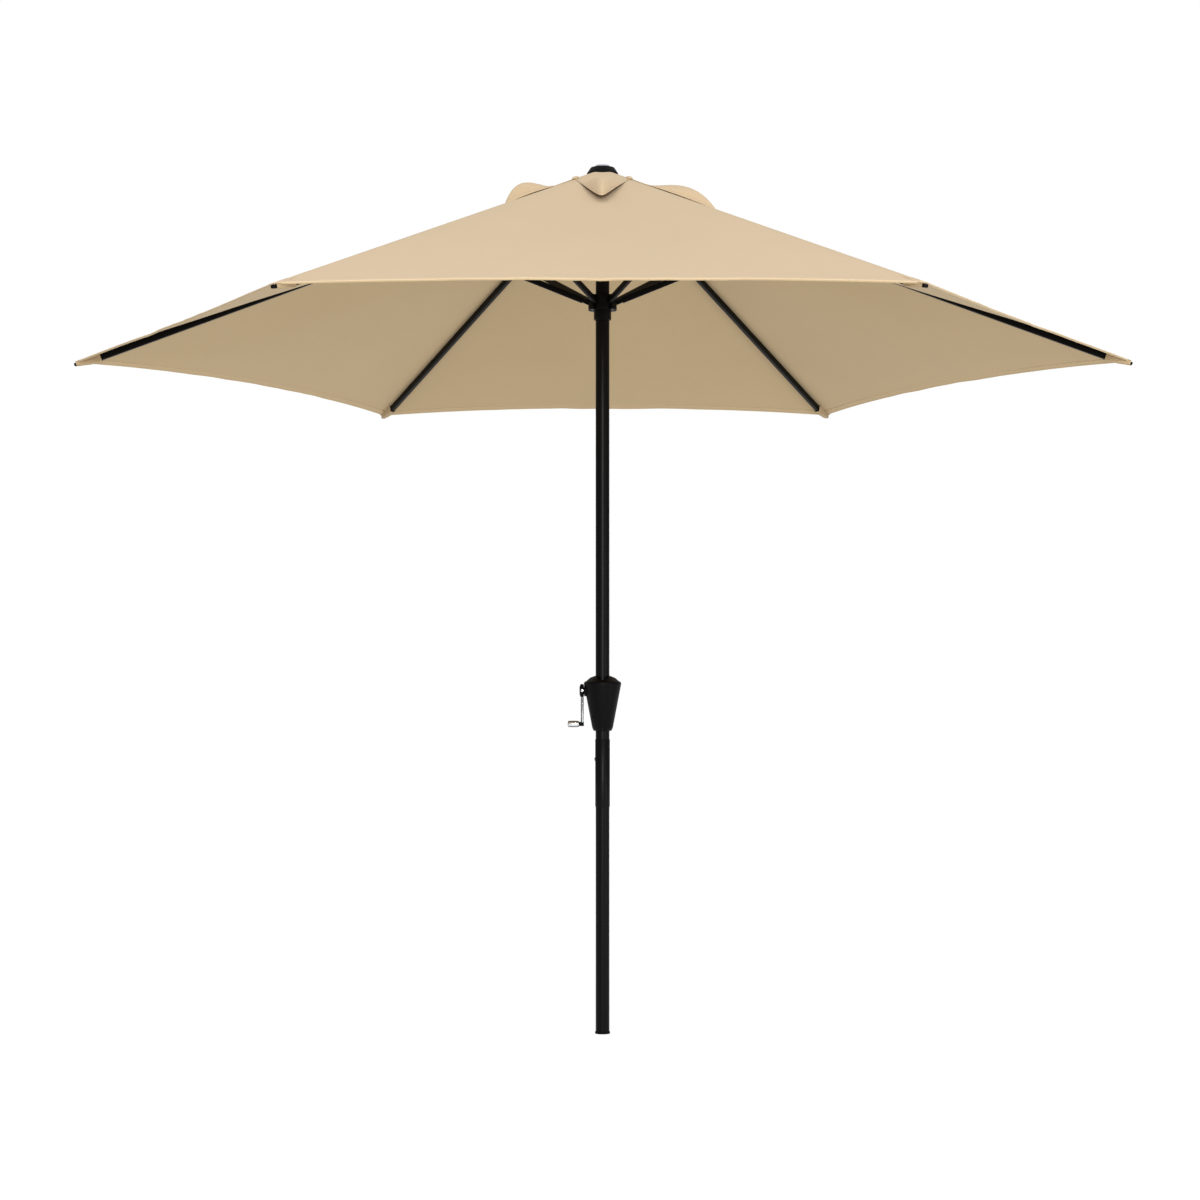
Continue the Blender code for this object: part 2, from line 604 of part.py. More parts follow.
def panel_mesh():
    """The half gores on both sides of a rib, from the vent to the hem."""
    steps, lengths = 5, 6
    rows = [[] for _ in range(lengths + 1)]
    for j, row in enumerate(rows):
        down = j / lengths
        radius = VENT_RADIUS + (TIP_RADIUS - VENT_RADIUS) * down
        half_side = radius * math.sin(HALF)
        for i in range(-steps, steps + 1):
            share = abs(i) / steps
            side = math.copysign(1, i)
            along = half_side * (1 - share)
            out = radius * math.cos(HALF) - HEM_SAG * down * (1 - (1 - share) ** 2)
            x = out * math.cos(HALF) + along * math.sin(HALF)
            y = side * (out * math.sin(HALF) - along * math.cos(HALF))
            sunk = HOLLOW * (1 - (1 - share) ** 2) ** 2 * math.sin(math.pi * down ** 0.9)
            row.append(on_slope(*beside_mid_line(x, y), -sunk))
    return sheet_solid(rows, PANEL_THICKNESS, "canopy_panel")


def petal_outline(gore):
    """Two numbers that give a petal's outline, a V with a rounded end."""
    peak = PETALS[gore][0] + PETAL_NOSE
    pinned_out = CAP_PIN_RADIUS * math.cos(HALF)
    pinned_across = CAP_PIN_RADIUS * math.sin(HALF)
    return peak, ((peak - pinned_out) ** 2 - PETAL_NOSE ** 2) / pinned_across ** 2


def petal_radius(angle, gore):
    """How far out the cap's edge is at an angle from the rib."""
    peak, k = petal_outline(gore)
    c = math.cos(HALF - angle)
    q = peak ** 2 - PETAL_NOSE ** 2
    return q / (peak * c + math.sqrt((peak * c) ** 2 - (c * c - k * (1 - c * c)) * q))


def petal_lift(radius, angle, gore):
    """How high a petal is puffed up above the canopy."""
    length, start, height = PETALS[gore]
    out, across = radius * math.cos(HALF - angle), radius * math.sin(HALF - angle)
    reach = min(max((out - start) / (length - start), 0), 1)
    peak, k = petal_outline(gore)
    wide = math.sqrt(max((peak - out) ** 2 - PETAL_NOSE ** 2, 1e-8) / k)
    aside = min(across / wide, 1)
    return height * math.sin(math.pi * reach) ** 0.8 * (1 - 0.94 * aside ** 2)


def vent_mesh(rib):
    """The half petals of the vent cap on both sides of a rib."""
    columns, rows_out = 4, 5
    inner = 0.0462
    rows = []
    for j in range(rows_out + 1):
        row = []
        for i in range(-columns, columns + 1):
            gore = rib if i > 0 else (rib - 1) % RIBS
            angle = HALF * abs(i) / columns
            radius = inner + (petal_radius(angle, gore) - inner) * j / rows_out
            x, y = radius * math.cos(angle), math.copysign(radius * math.sin(angle), i)
            lift = 0.0025 + petal_lift(radius, angle, gore)
            row.append(on_slope(*beside_mid_line(x, y), lift))
        rows.append(row)
    return sheet_solid(rows, CAP_THICKNESS, "vent_cap")


def make_fabric(spokes):
    hinge = Vector((HUB_PIVOT[0], 0, HUB_PIVOT[1]))
    panel = panel_mesh()
    panel.transform(Matrix.Translation(-hinge))
    for i, spoke in enumerate(spokes, 1):
        vent = vent_mesh(i - 1)
        vent.transform(Matrix.Translation(-hinge))
        piece(f"canopy_panel_{i}", panel, "canvas", hinge, parent=spoke, smooth=False)
        piece(f"vent_cap_{i}", vent, "canvas", hinge, parent=spoke, smooth=False)


start_clean()
make_pole()
make_lock_button()
make_crank()
make_lift_cord()
make_hub()
make_runner()
SPOKES = [empty(f"spoke_{i + 1}", turn=(0, 0, 2 * math.pi * i / RIBS)) for i in range(RIBS)]
make_frame(SPOKES)
make_fabric(SPOKES)
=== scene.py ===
import json
import math

import bmesh
import bpy
from mathutils import Matrix, Vector, noise


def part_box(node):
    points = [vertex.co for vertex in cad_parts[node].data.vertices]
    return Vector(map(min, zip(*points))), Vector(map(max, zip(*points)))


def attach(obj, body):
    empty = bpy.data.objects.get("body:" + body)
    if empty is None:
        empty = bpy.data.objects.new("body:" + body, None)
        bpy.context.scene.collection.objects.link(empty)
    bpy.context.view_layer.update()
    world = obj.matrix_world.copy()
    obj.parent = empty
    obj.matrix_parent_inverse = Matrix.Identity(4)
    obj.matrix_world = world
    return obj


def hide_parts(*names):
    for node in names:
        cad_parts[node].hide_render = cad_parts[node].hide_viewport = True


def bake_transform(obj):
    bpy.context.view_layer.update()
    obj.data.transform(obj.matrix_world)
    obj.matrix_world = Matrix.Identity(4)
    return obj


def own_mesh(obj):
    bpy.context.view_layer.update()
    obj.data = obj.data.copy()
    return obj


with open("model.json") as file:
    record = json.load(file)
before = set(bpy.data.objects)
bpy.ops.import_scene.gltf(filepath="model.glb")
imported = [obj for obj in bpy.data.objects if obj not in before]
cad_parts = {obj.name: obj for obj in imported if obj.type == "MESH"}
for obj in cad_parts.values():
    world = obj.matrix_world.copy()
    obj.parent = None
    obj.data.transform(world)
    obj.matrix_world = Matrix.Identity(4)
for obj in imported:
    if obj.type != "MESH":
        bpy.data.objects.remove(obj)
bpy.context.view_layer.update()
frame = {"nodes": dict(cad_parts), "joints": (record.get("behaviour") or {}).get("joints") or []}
joint = {j["name"]: j for j in frame["joints"]}


# --- Camera ---
# Low, well in front of the open umbrella and looking slightly up, so that the front panel is seen
# from outside and the other five from below.

camera = bpy.data.objects.new("camera", bpy.data.cameras.new("camera"))
camera.data.sensor_width, camera.data.lens = 36.0, 71.8
camera.data.clip_end = 200.0
bpy.context.scene.collection.objects.link(camera)
camera_turn, camera_pitch = math.radians(0.40), math.radians(2.27)
camera_distance, camera_height, camera_side = 6.600, 0.927, -0.0070
camera.matrix_world = (Matrix.Rotation(camera_turn, 4, "Z")
                       @ Matrix.Translation((camera_side, -camera_distance, camera_height))
                       @ Matrix.Rotation(math.pi / 2 + camera_pitch, 4, "X"))
bpy.context.scene.camera = camera


# --- Foot plug ---
# Moulded nylon plug pushed into the bottom of the pole. Its rim is the flat face that the pole
# stands on, and keeps the cut end of the tube off the bottom of a base's socket.

def new_group(name, sockets_in, sockets_out):
    """An empty shader node group with typed inputs (name, kind, value) and outputs."""
    group = bpy.data.node_groups.new(name, "ShaderNodeTree")
    for label, kind, value in sockets_in:
        made = group.interface.new_socket(label, in_out="INPUT", socket_type=f"NodeSocket{kind}")
        if value is not None:
            made.default_value = value
    for label, kind in sockets_out:
        group.interface.new_socket(label, in_out="OUTPUT", socket_type=f"NodeSocket{kind}")
    return group, group.nodes.new("NodeGroupInput"), group.nodes.new("NodeGroupOutput")


def add_node(tree, kind, links=(), **settings):
    """A node with its settings, and with (socket, source or value) pairs put on its inputs."""
    node = tree.nodes.new(kind)
    for key, value in settings.items():
        setattr(node, key, value)
    for socket, source in links:
        if isinstance(source, bpy.types.NodeSocket):
            tree.links.new(source, node.inputs[socket])
        else:
            node.inputs[socket].default_value = source
    return node


def worked(tree, operation, *values, clamp=False):
    """The result of a Math node on sockets and numbers."""
    return add_node(tree, "ShaderNodeMath", enumerate(values), operation=operation,
                    use_clamp=clamp).outputs[0]


def ranged(tree, value, low, high, to_low=0.0, to_high=1.0):
    """A value's range from low to high stretched over another range, and held inside it."""
    return add_node(tree, "ShaderNodeMapRange",
                    [("Value", value), ("From Min", low), ("From Max", high),
                     ("To Min", to_low), ("To Max", to_high)]).outputs["Result"]


def mottled(tree, vector, scale, detail, roughness=0.5):
    """The grey of a noise texture."""
    return add_node(tree, "ShaderNodeTexNoise",
                    [("Vector", vector), ("Scale", scale), ("Detail", detail),
                     ("Roughness", roughness)]).outputs["Fac"]


def toned(tree, colour, factor):
    """A colour made lighter or darker."""
    return add_node(tree, "ShaderNodeVectorMath", [(0, colour), ("Scale", factor)],
                    operation="SCALE").outputs["Vector"]


# Moulding grain: the spark-eroded texture of plastic and the orange peel of powder paint, with
# the patchy shine that handling leaves and a little dust on what faces up.
grain_group, grain_in, grain_out = new_group(
    "Surface Grain",
    [("Scale", "Float", 900.0), ("Shine", "Float", 0.45), ("Spread", "Float", 0.12),
     ("Tone", "Color", (0.02, 0.02, 0.02, 1)), ("Dust", "Float", 0.1)],
    [("Color", "Color"), ("Roughness", "Float"), ("Height", "Float")])
place = add_node(grain_group, "ShaderNodeTexCoord").outputs["Object"]
patchy = worked(grain_group, "SUBTRACT", mottled(grain_group, place, 9.0, 6.0, 0.65), 0.5)
facing = add_node(grain_group, "ShaderNodeNewGeometry").outputs["Normal"]
upward = add_node(grain_group, "ShaderNodeSeparateXYZ", [("Vector", facing)]).outputs["Z"]
dusty = worked(grain_group, "MULTIPLY", ranged(grain_group, upward, 0.2, 1.0),
               mottled(grain_group, place, 55.0, 8.0))
dusty = worked(grain_group, "MULTIPLY", dusty, grain_in.outputs["Dust"], clamp=True)
coloured = add_node(grain_group, "ShaderNodeMix",
                    [(0, dusty), (6, grain_in.outputs["Tone"]), (7, (0.32, 0.29, 0.25, 1))],
                    data_type="RGBA")
for socket, source in (
        ("Color", coloured.outputs[2]),
        ("Roughness", worked(grain_group, "MULTIPLY_ADD", patchy, grain_in.outputs["Spread"],
                             grain_in.outputs["Shine"])),
        ("Height", mottled(grain_group, place, grain_in.outputs["Scale"], 3.0))):
    grain_group.links.new(source, grain_out.inputs[socket])


def grained(name, tone, shine, scale=900.0, spread=0.12, dust=0.1, bump=0.12, metallic=0.0,
            specular=0.35, depth=0.0003):
    """A material of one tone whose shine and surface come from the Surface Grain group."""
    material = bpy.data.materials.new(name)
    material.use_nodes = True
    tree = material.node_tree
    shader = tree.nodes["Principled BSDF"]
    grain = add_node(tree, "ShaderNodeGroup", node_tree=grain_group)
    for socket, value in (("Scale", scale), ("Shine", shine), ("Spread", spread),
                          ("Tone", (*tone, 1)), ("Dust", dust)):
        grain.inputs[socket].default_value = value
    height = add_node(tree, "ShaderNodeBump",
                      [("Height", grain.outputs["Height"]), ("Strength", bump),
                       ("Distance", depth)])
    if dust > 0:
        tree.links.new(grain.outputs["Color"], shader.inputs["Base Color"])
    else:
        shader.inputs["Base Color"].default_value = (*tone, 1)
    tree.links.new(grain.outputs["Roughness"], shader.inputs["Roughness"])
    tree.links.new(height.outputs["Normal"], shader.inputs["Normal"])
    shader.inputs["Metallic"].default_value = metallic
    shader.inputs["Specular IOR Level"].default_value = specular
    return material


def fitted(name, bm, look, body, nodes=(), crease=32):
    """Makes a piece of a finished bmesh, fixes it to its body and takes the place of its nodes."""
    bmesh.ops.remove_doubles(bm, verts=bm.verts, dist=1e-6)
    bmesh.ops.dissolve_degenerate(bm, edges=bm.edges, dist=1e-7)
    bmesh.ops.recalc_face_normals(bm, faces=bm.faces)
    mesh = bpy.data.meshes.new(name)
    bm.to_mesh(mesh)
    bm.free()
    mesh.materials.append(look)
    mesh.shade_smooth()
    mesh.set_sharp_from_angle(angle=math.radians(crease))
    obj = bpy.data.objects.new(name, mesh)
    bpy.context.scene.collection.objects.link(obj)
    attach(obj, body)
    if nodes:
        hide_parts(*nodes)
    return obj


def turned(outline, steps=96, place=Matrix.Identity(4), closed=True):
    """A bmesh of (radius, height) points spun about +Z, then put in place."""
    bm = bmesh.new()
    verts = [bm.verts.new((r, 0, z)) for r, z in outline]
    edges = [bm.edges.new(pair) for pair in zip(verts, verts[1:])]
    if closed:
        edges.append(bm.edges.new((verts[-1], verts[0])))
    bmesh.ops.spin(bm, geom=verts + edges, cent=(0, 0, 0), axis=(0, 0, 1), angle=2 * math.pi,
                   steps=steps, use_merge=True)
    bmesh.ops.remove_doubles(bm, verts=bm.verts, dist=1e-6)
    bmesh.ops.transform(bm, matrix=place, verts=bm.verts)
    return bm


def rounded(corners, radius, steps=4):
    """An outline of (r, z) corners with each inner corner turned into a small curve."""
    points = [corners[0]]
    for before, at, after in zip(corners, corners[1:], corners[2:]):
        at, before, after = Vector(at), Vector(before), Vector(after)
        reach = min(radius, (before - at).length * 0.45, (after - at).length * 0.45)
        a = at + (before - at).normalized() * reach
        b = at + (after - at).normalized() * reach
        for i in range(steps + 1):
            t = i / steps
            points.append(tuple(a * (1 - t) ** 2 + at * 2 * t * (1 - t) + b * t * t))
    return points + [corners[-1]]


black_nylon = grained("black_nylon", (0.0016, 0.0016, 0.0018), 0.46, scale=1400, dust=0.002,
                      specular=0.07)
black_steel = grained("blackened_steel", (0.012, 0.012, 0.013), 0.40, spread=0.2, dust=0.0,
                      metallic=0.8, specular=0.3)
foot_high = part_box("pole_foot_plug")[1]
foot_radius = foot_high[0]
foot = turned(rounded([(0, 0), (foot_radius, 0), (foot_radius, 0.006), (0.0176, 0.006),
                       (0.0174, foot_high[2]), (0, foot_high[2])], 0.0012), closed=False)
fitted("foot_plug", foot, black_nylon, "pole", ["pole_foot_plug"])


# --- Pole ---
# Two lengths of 38 mm aluminium tube in black powder paint. The upper one drops into a swaged
# sleeve on the lower one, and a spring button holds it there.

powder_paint = grained("powder_paint", (0.0018, 0.0018, 0.0019), 0.38, scale=1700, spread=0.05,
                       dust=0.002, bump=0.05, specular=0.09)
pole_radius = 0.019
pole_bore = 0.0178


def tube_outline(bore, outer, low, high, lip=0.0005):
    return [(bore, low), (outer - lip, low), (outer, low + lip), (outer, high - lip),
            (outer - lip, high), (bore, high)]


for node in ("lower_pole", "upper_pole"):
    low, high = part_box(node)
    body = turned(tube_outline(pole_bore, pole_radius, low[2], high[2]))
    fitted(node + "_tube", body, powder_paint, "pole", [node])

low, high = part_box("pole_sleeve")
sleeve_outer = high[0]
swage = 0.004
sleeve = turned([(0.0193, low[2]), (0.0197, low[2]), (sleeve_outer, low[2] + swage),
                 (sleeve_outer, high[2] - 0.001), (sleeve_outer - 0.0006, high[2]),
                 (0.0193, high[2])])
fitted("joining_sleeve", sleeve, powder_paint, "pole", ["pole_sleeve"])


def dressed(node, look):
    """Keeps a hidden piece as it came from CAD and gives it its finish."""
    frame["nodes"][node].material_slots[0].material = look


dressed("pole_top_plug", black_nylon)


# --- Lock button and its spring ---
# A turned steel button on a hairpin spring inside the tube. Pressed in, it frees the two halves
# of the pole.

bright_steel = grained("bright_steel", (0.42, 0.42, 0.43), 0.30, scale=2500, spread=0.2,
                       dust=0.0, metallic=1.0, specular=0.5)
low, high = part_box("lock_button")
button_z = (low[2] + high[2]) / 2
along_x = Matrix.Translation((0, 0, button_z)) @ Matrix.Rotation(math.pi / 2, 4, "Y")
button_end = low[0]
button = turned(rounded([(0, button_end), (0.0038, button_end), (0.0038, -0.0166),
                         (0.0055, -0.0166), (0.0055, -0.0152), (0, -0.0152)], 0.0016, 5),
                48, along_x, closed=False)
fitted("spring_button", button, bright_steel, "button", ["lock_button"])
washer = turned([(0.0046, -0.0208), (0.0064, -0.0206), (0.0066, -0.0200), (0.0046, -0.0200)],
                48, along_x)
fitted("button_washer", washer, black_nylon, "pole")
dressed("lock_spring", bright_steel)


# --- Crank housing ---
# Two moulded halves screwed to the pole through their neck. The cone widens upwards round the
# spool's gearing, and its domed top is cut to a saddle where the pole enters.

neck_z = 0.8335
crank_z = joint["crank_turn"]["pos_m"][2]
low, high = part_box("crank_housing_front")
widest = high[0]
housing_low = low[2]
shoulder = [(widest - 0.0065 + 0.0065 * math.cos(a), 0.958 + 0.0065 * math.sin(a))
            for a in (math.radians(5 + 75 * i / 10) for i in range(11))]
outer_skin = [(0.0195, housing_low), (0.0235, housing_low), (0.0250, housing_low + 0.0012),
              (0.0278, 0.8350), (0.0286, 0.8368), (widest - 0.0004, 0.955), *shoulder,
              (0.034, 0.9745), (0.0195, 0.9800)]
inner_skin = [(0.0195, 0.9765), (0.033, 0.9708), (0.0445, 0.9615), (0.0481, 0.9570),
              (0.0262, 0.8390), (0.0195, 0.8390)]


def cut_by(obj, cutters):
    """Cuts a finished piece with other shapes, and keeps only the result."""
    tools = []
    for bm in cutters:
        mesh = bpy.data.meshes.new("cutter")
        bmesh.ops.recalc_face_normals(bm, faces=bm.faces)
        bm.to_mesh(mesh)
        bm.free()
        tool = bpy.data.objects.new("cutter", mesh)
        bpy.context.scene.collection.objects.link(tool)
        modifier = obj.modifiers.new("cut", "BOOLEAN")
        modifier.operation, modifier.object = "DIFFERENCE", tool
        tools.append(tool)
    graph = bpy.context.evaluated_depsgraph_get()
    made = bpy.data.meshes.new_from_object(obj.evaluated_get(graph))
    obj.modifiers.clear()
    obj.data = made
    for tool in tools:
        bpy.data.objects.remove(tool, do_unlink=True)
    made.shade_smooth()
    made.set_sharp_from_angle(angle=math.radians(32))


def cylinder(start, end, radius, steps=48):
    """A bmesh cylinder between two points."""
    start, end = Vector(start), Vector(end)
    bm = bmesh.new()
    turn = (end - start).to_track_quat("Z", "Y").to_matrix().to_4x4()
    bmesh.ops.create_cone(bm, cap_ends=True, segments=steps, radius1=radius, radius2=radius,
                          depth=(end - start).length,
                          matrix=Matrix.Translation((start + end) / 2) @ turn)
    return bm


for half, side in (("front", -1), ("back", 1)):
    shell = turned(outer_skin + inner_skin, 128)
    cut = bmesh.ops.bisect_plane(shell, geom=shell.verts[:] + shell.edges[:] + shell.faces[:],
                                 plane_co=(0, side * 0.00015, 0), plane_no=(0, side, 0),
                                 clear_inner=True)
    rim = [e for e in cut["geom_cut"] if isinstance(e, bmesh.types.BMEdge)]
    bmesh.ops.holes_fill(shell, edges=rim)
    housing = fitted(f"housing_{half}", shell, black_nylon, "pole", [f"crank_housing_{half}"])
    far = 0.08
    cut_by(housing, [cylinder((0, -far, 0.989), (0, far, 0.989), 0.021, 64),
                     cylinder((-far, 0, crank_z), (0, 0, crank_z), 0.0062),
                     cylinder((0, side * 0.01, neck_z), (0, side * 0.04, neck_z), 0.0020, 24),
                     cylinder((0, side * 0.0245, neck_z), (0, side * 0.04, neck_z), 0.0034)])
    pointing = Matrix.Translation((0, 0, neck_z)) @ Matrix.Rotation(-side * math.pi / 2, 4, "X")
    screw = turned(rounded([(0, 0.0181), (0.0016, 0.0181), (0.0016, 0.0248), (0.0030, 0.0248),
                            (0.0030, 0.0258), (0.0012, 0.0266), (0.0012, 0.0256),
                            (0, 0.0256)], 0.0005, 3), 24, pointing, closed=False)
    fitted(f"neck_screw_{half}", screw, black_steel, "pole", [f"housing_screw_{half}"])

# A moulded collar round the axle fills the space between the housing and the hub.
collar = turned(rounded([(0.0066, 0.0400), (0.0160, 0.0400), (0.0160, 0.0500), (0.0135, 0.0508),
                         (0.0066, 0.0508)], 0.0008), 64, Matrix.Translation((0, 0, crank_z))
                @ Matrix.Rotation(-math.pi / 2, 4, "Y"))
fitted("crank_collar", collar, black_nylon, "pole")


# --- Crank ---
# Nylon hub on the end of the axle, with a chromed steel arm held in it by a polished rivet. The
# arm bends to the side at its lower end, where a nylon ferrule covers the bend and the knob's pin.

plate_tone = (0.70, 0.71, 0.72)
chrome = grained("chrome_plate", plate_tone, 0.12, scale=300, spread=0.06, dust=0.0, bump=0.01,
                 metallic=1.0, specular=0.5)
tree = chrome.node_tree
# Painted reflection: the chrome's colour falls almost to black towards its outline, standing in
# for dark surroundings reflected at grazing angles.
painted_reflection_edge = add_node(tree, "ShaderNodeLayerWeight", [("Blend", 0.5)]).outputs["Facing"]
tree.links.new(toned(tree, plate_tone, ranged(tree, painted_reflection_edge, 0.12, 0.50, 1.0, 0.03)),
               tree.nodes["Principled BSDF"].inputs["Base Color"])


def refined(node, look, body, width=0.0006, crease=30):
    """A copy of a frame node with its triangles joined up and its edges rounded."""
    bm = bmesh.new()
    bm.from_mesh(frame["nodes"][node].data)
    bmesh.ops.remove_doubles(bm, verts=bm.verts, dist=2e-6)
    bmesh.ops.dissolve_limit(bm, angle_limit=math.radians(1.0), verts=bm.verts, edges=bm.edges)
    obj = fitted(f"{node}_finished", bm, look, body, [node], crease)
    bevel = obj.modifiers.new("rounded edges", "BEVEL")
    bevel.width, bevel.segments, bevel.limit_method = width, 2, "ANGLE"
    bevel.angle_limit = math.radians(crease)
    bevel.harden_normals = False
    return obj


for node in ("crank_axle", "brake_bush", "brake_spring"):
    dressed(node, bright_steel)
refined("crank_spool", black_nylon, "crank", 0.0003)
refined("crank_hub", black_nylon, "crank", 0.0008)
low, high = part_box("crank_rivet")
arm_x, rivet_z = (low[0] + high[0]) / 2, (low[2] + high[2]) / 2
knob_z = joint["knob_spin"]["pos_m"][2]
low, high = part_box("crank_arm")
arm_radius, arm_bend, arm_top, arm_end = 0.0038, 0.0055, high[2], low[0]
arm = bmesh.new()
bmesh.ops.create_circle(arm, cap_ends=True, segments=32, radius=arm_radius,
                        matrix=Matrix.Translation((arm_x, 0, arm_top)))
end = arm.faces[:]
straight = bmesh.ops.extrude_face_region(arm, geom=end)["geom"]
lower = [v for v in straight if isinstance(v, bmesh.types.BMVert)]
bmesh.ops.translate(arm, vec=(0, 0, knob_z + arm_bend - arm_top), verts=lower)
end = [f for f in arm.faces if all(v in lower for v in f.verts)]
bent = bmesh.ops.spin(arm, geom=end, cent=(arm_x - arm_bend, 0, knob_z + arm_bend),
                      axis=(0, 1, 0), angle=math.pi / 2, steps=10)
end = [f for f in bent["geom_last"] if isinstance(f, bmesh.types.BMFace)]
last = bmesh.ops.extrude_face_region(arm, geom=end)["geom"]
tips = [v for v in last if isinstance(v, bmesh.types.BMVert)]
bmesh.ops.translate(arm, vec=(arm_end - (arm_x - arm_bend), 0, 0), verts=tips)
inside = [f for f in arm.faces if len(f.verts) > 4]
bmesh.ops.delete(arm, geom=inside, context="FACES_ONLY")
bmesh.ops.holes_fill(arm, edges=arm.edges)
fitted("crank_arm_rod", arm, chrome, "crank", ["crank_arm"])

rivet = turned(rounded([(0, -0.0181), (0.0032, -0.0180), (0.0042, -0.0172), (0.0042, -0.0168),
                        (0.0020, -0.0168), (0.0020, 0.0168), (0.0042, 0.0168),
                        (0.0042, 0.0172), (0.0032, 0.0180), (0, 0.0181)], 0.0005, 3), 48,
               Matrix.Translation((arm_x, 0, rivet_z)) @ Matrix.Rotation(math.pi / 2, 4, "X"),
               closed=False)
fitted("arm_rivet", rivet, chrome, "crank", ["crank_rivet"])

at_knob = Matrix.Translation((0, 0, knob_z)) @ Matrix.Rotation(math.pi / 2, 4, "Y")
pin_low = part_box("knob_pin")[0]
knob_low, knob_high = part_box("crank_knob")
far, near = knob_low[0], knob_high[0]
ferrule_radius, ferrule_start, ferrule_end = 0.0060, arm_x + 0.0046, near + 0.0003
pin = turned(rounded([(0, ferrule_start), (ferrule_radius, ferrule_start),
                      (ferrule_radius, ferrule_end), (0.0025, ferrule_end),
                      (0.0025, pin_low[0]), (0, pin_low[0])], 0.0006),
             40, at_knob, closed=False)
fitted("knob_ferrule", pin, black_nylon, "crank", ["knob_pin"])


# --- Knob ---
# Hollow chromed grip, slightly barrelled, that turns freely on the pin.

knob_radius = knob_high[2] - knob_z
barrel = [(knob_radius * (0.90 + 0.10 * math.sin(math.pi * (0.12 + 0.76 * i / 12))),
           near + (far - near) * (0.05 + 0.9 * i / 12)) for i in range(13)]
knob = turned([(0, far + 0.0026), (0.0029, far + 0.0026), (0.0029, near), (0.0070, near),
               *barrel, (0.0062, far + 0.0001), (0.0052, far), (0, far)], 64, at_knob,
              closed=False)
fitted("knob_grip", knob, chrome, "knob", ["crank_knob"], crease=40)


# --- Top hub and ring wire ---
# Moulded hub on the head of the pole. The ribs hinge in its slots on one ring of steel wire,
# which lies in a groove under the finial.

refined("top_hub", black_nylon, "pole", 0.0007)
hub_radius = joint["rib_1_fold"]["pos_m"][0]
hub_z = joint["rib_1_fold"]["pos_m"][2]
wire = turned([(hub_radius + 0.0015 * math.cos(a), hub_z + 0.0015 * math.sin(a))
               for a in (2 * math.pi * i / 10 for i in range(10))], 96)
fitted("ring_wire", wire, bright_steel, "pole", ["hub_ring_wire"])


# --- Finial ---
# Black moulded cone bolted down on the vent cap, with a pale press-in cap over the bolt.

low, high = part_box("finial")
base_z, neck = low[2], high[2]
finial = turned([(0.0043, base_z), *rounded([(0.0400, base_z), (0.0440, base_z),
                 (0.0440, base_z + 0.0030), (0.0335, neck), (0.0085, neck)], 0.0009, 4),
                 (0.0085, neck - 0.008), (0.0043, neck - 0.008)], 96)
fitted("finial_cone", finial, black_nylon, "pole", ["finial"])
dressed("finial_bolt", bright_steel)
pale_plastic = grained("pale_plastic", (0.42, 0.41, 0.47), 0.40, scale=900, dust=0.0)
low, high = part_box("finial_cap")
cap = turned(rounded([(0, low[2]), (high[0], low[2]), (high[0], high[2]), (0, high[2])],
                     0.0014, 5), 64, closed=False)
fitted("finial_button", cap, pale_plastic, "pole", ["finial_cap"])


# --- Lift cord, pulley and runner ---
# Braided cord from the spool up inside the pole, over a pulley, out through a slot and down to
# the moulded runner, which slides on the pole and pushes the stretchers.

braid_group, braid_in, braid_out = new_group(
    "Braid", [("Tone", "Color", (0.6, 0.58, 0.54, 1)), ("Pitch", "Float", 260.0)],
    [("Color", "Color"), ("Height", "Float")])
place = add_node(braid_group, "ShaderNodeTexCoord").outputs["Object"]
tipped = add_node(braid_group, "ShaderNodeMapping",
                  [("Vector", place), ("Rotation", (0.0, 0.7, 0.0))]).outputs["Vector"]
strands = add_node(braid_group, "ShaderNodeTexWave",
                   [("Vector", tipped), ("Scale", braid_in.outputs["Pitch"]),
                    ("Distortion", 0.6)], bands_direction="Z").outputs["Fac"]
# Painted shade: the fibre colour darkens in the braid's grooves, where the strands' height is
# lowest.
fibre = toned(braid_group, braid_in.outputs["Tone"],
              ranged(braid_group, strands, 0.0, 1.0, 0.65, 1.0))
braid_group.links.new(fibre, braid_out.inputs["Color"])
braid_group.links.new(strands, braid_out.inputs["Height"])
cord_fibre = bpy.data.materials.new("cord_fibre")
cord_fibre.use_nodes = True
tree = cord_fibre.node_tree
braid = add_node(tree, "ShaderNodeGroup", node_tree=braid_group)
bump = add_node(tree, "ShaderNodeBump", [("Height", braid.outputs["Height"]),
                                         ("Strength", 0.5), ("Distance", 0.0003)])
shader = tree.nodes["Principled BSDF"]
tree.links.new(braid.outputs["Color"], shader.inputs["Base Color"])
tree.links.new(bump.outputs["Normal"], shader.inputs["Normal"])
shader.inputs["Roughness"].default_value = 0.85

low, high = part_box("lift_cord_outer")
cord_y, cord_radius = (low[1] + high[1]) / 2, (high[0] - low[0]) / 2
outer_run = turned([(0, low[2]), (cord_radius, low[2]), (cord_radius, high[2]), (0, high[2])],
                   12, Matrix.Translation((0, cord_y, 0)), closed=False)
upright = [e for e in outer_run.edges if abs(e.verts[0].co.z - e.verts[1].co.z) > 0.1]
bmesh.ops.subdivide_edges(outer_run, edges=upright, cuts=24)
outer_cord = fitted("cord_outside", outer_run, cord_fibre, "pole", ["lift_cord_outer"])
outer_cord.parent = None
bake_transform(outer_cord)
dressed("lift_cord_inner", cord_fibre)
dressed("pulley_pin", bright_steel)
refined("cord_pulley", pale_plastic, "pulley", 0.0003)
refined("runner", black_nylon, "runner", 0.0008)


# --- Ribs ---
# Six rectangular steel tubes in black powder paint. Each has a pressed nose that hinges on the
# hub's wire, and a folded bracket riveted under it for its stretcher.

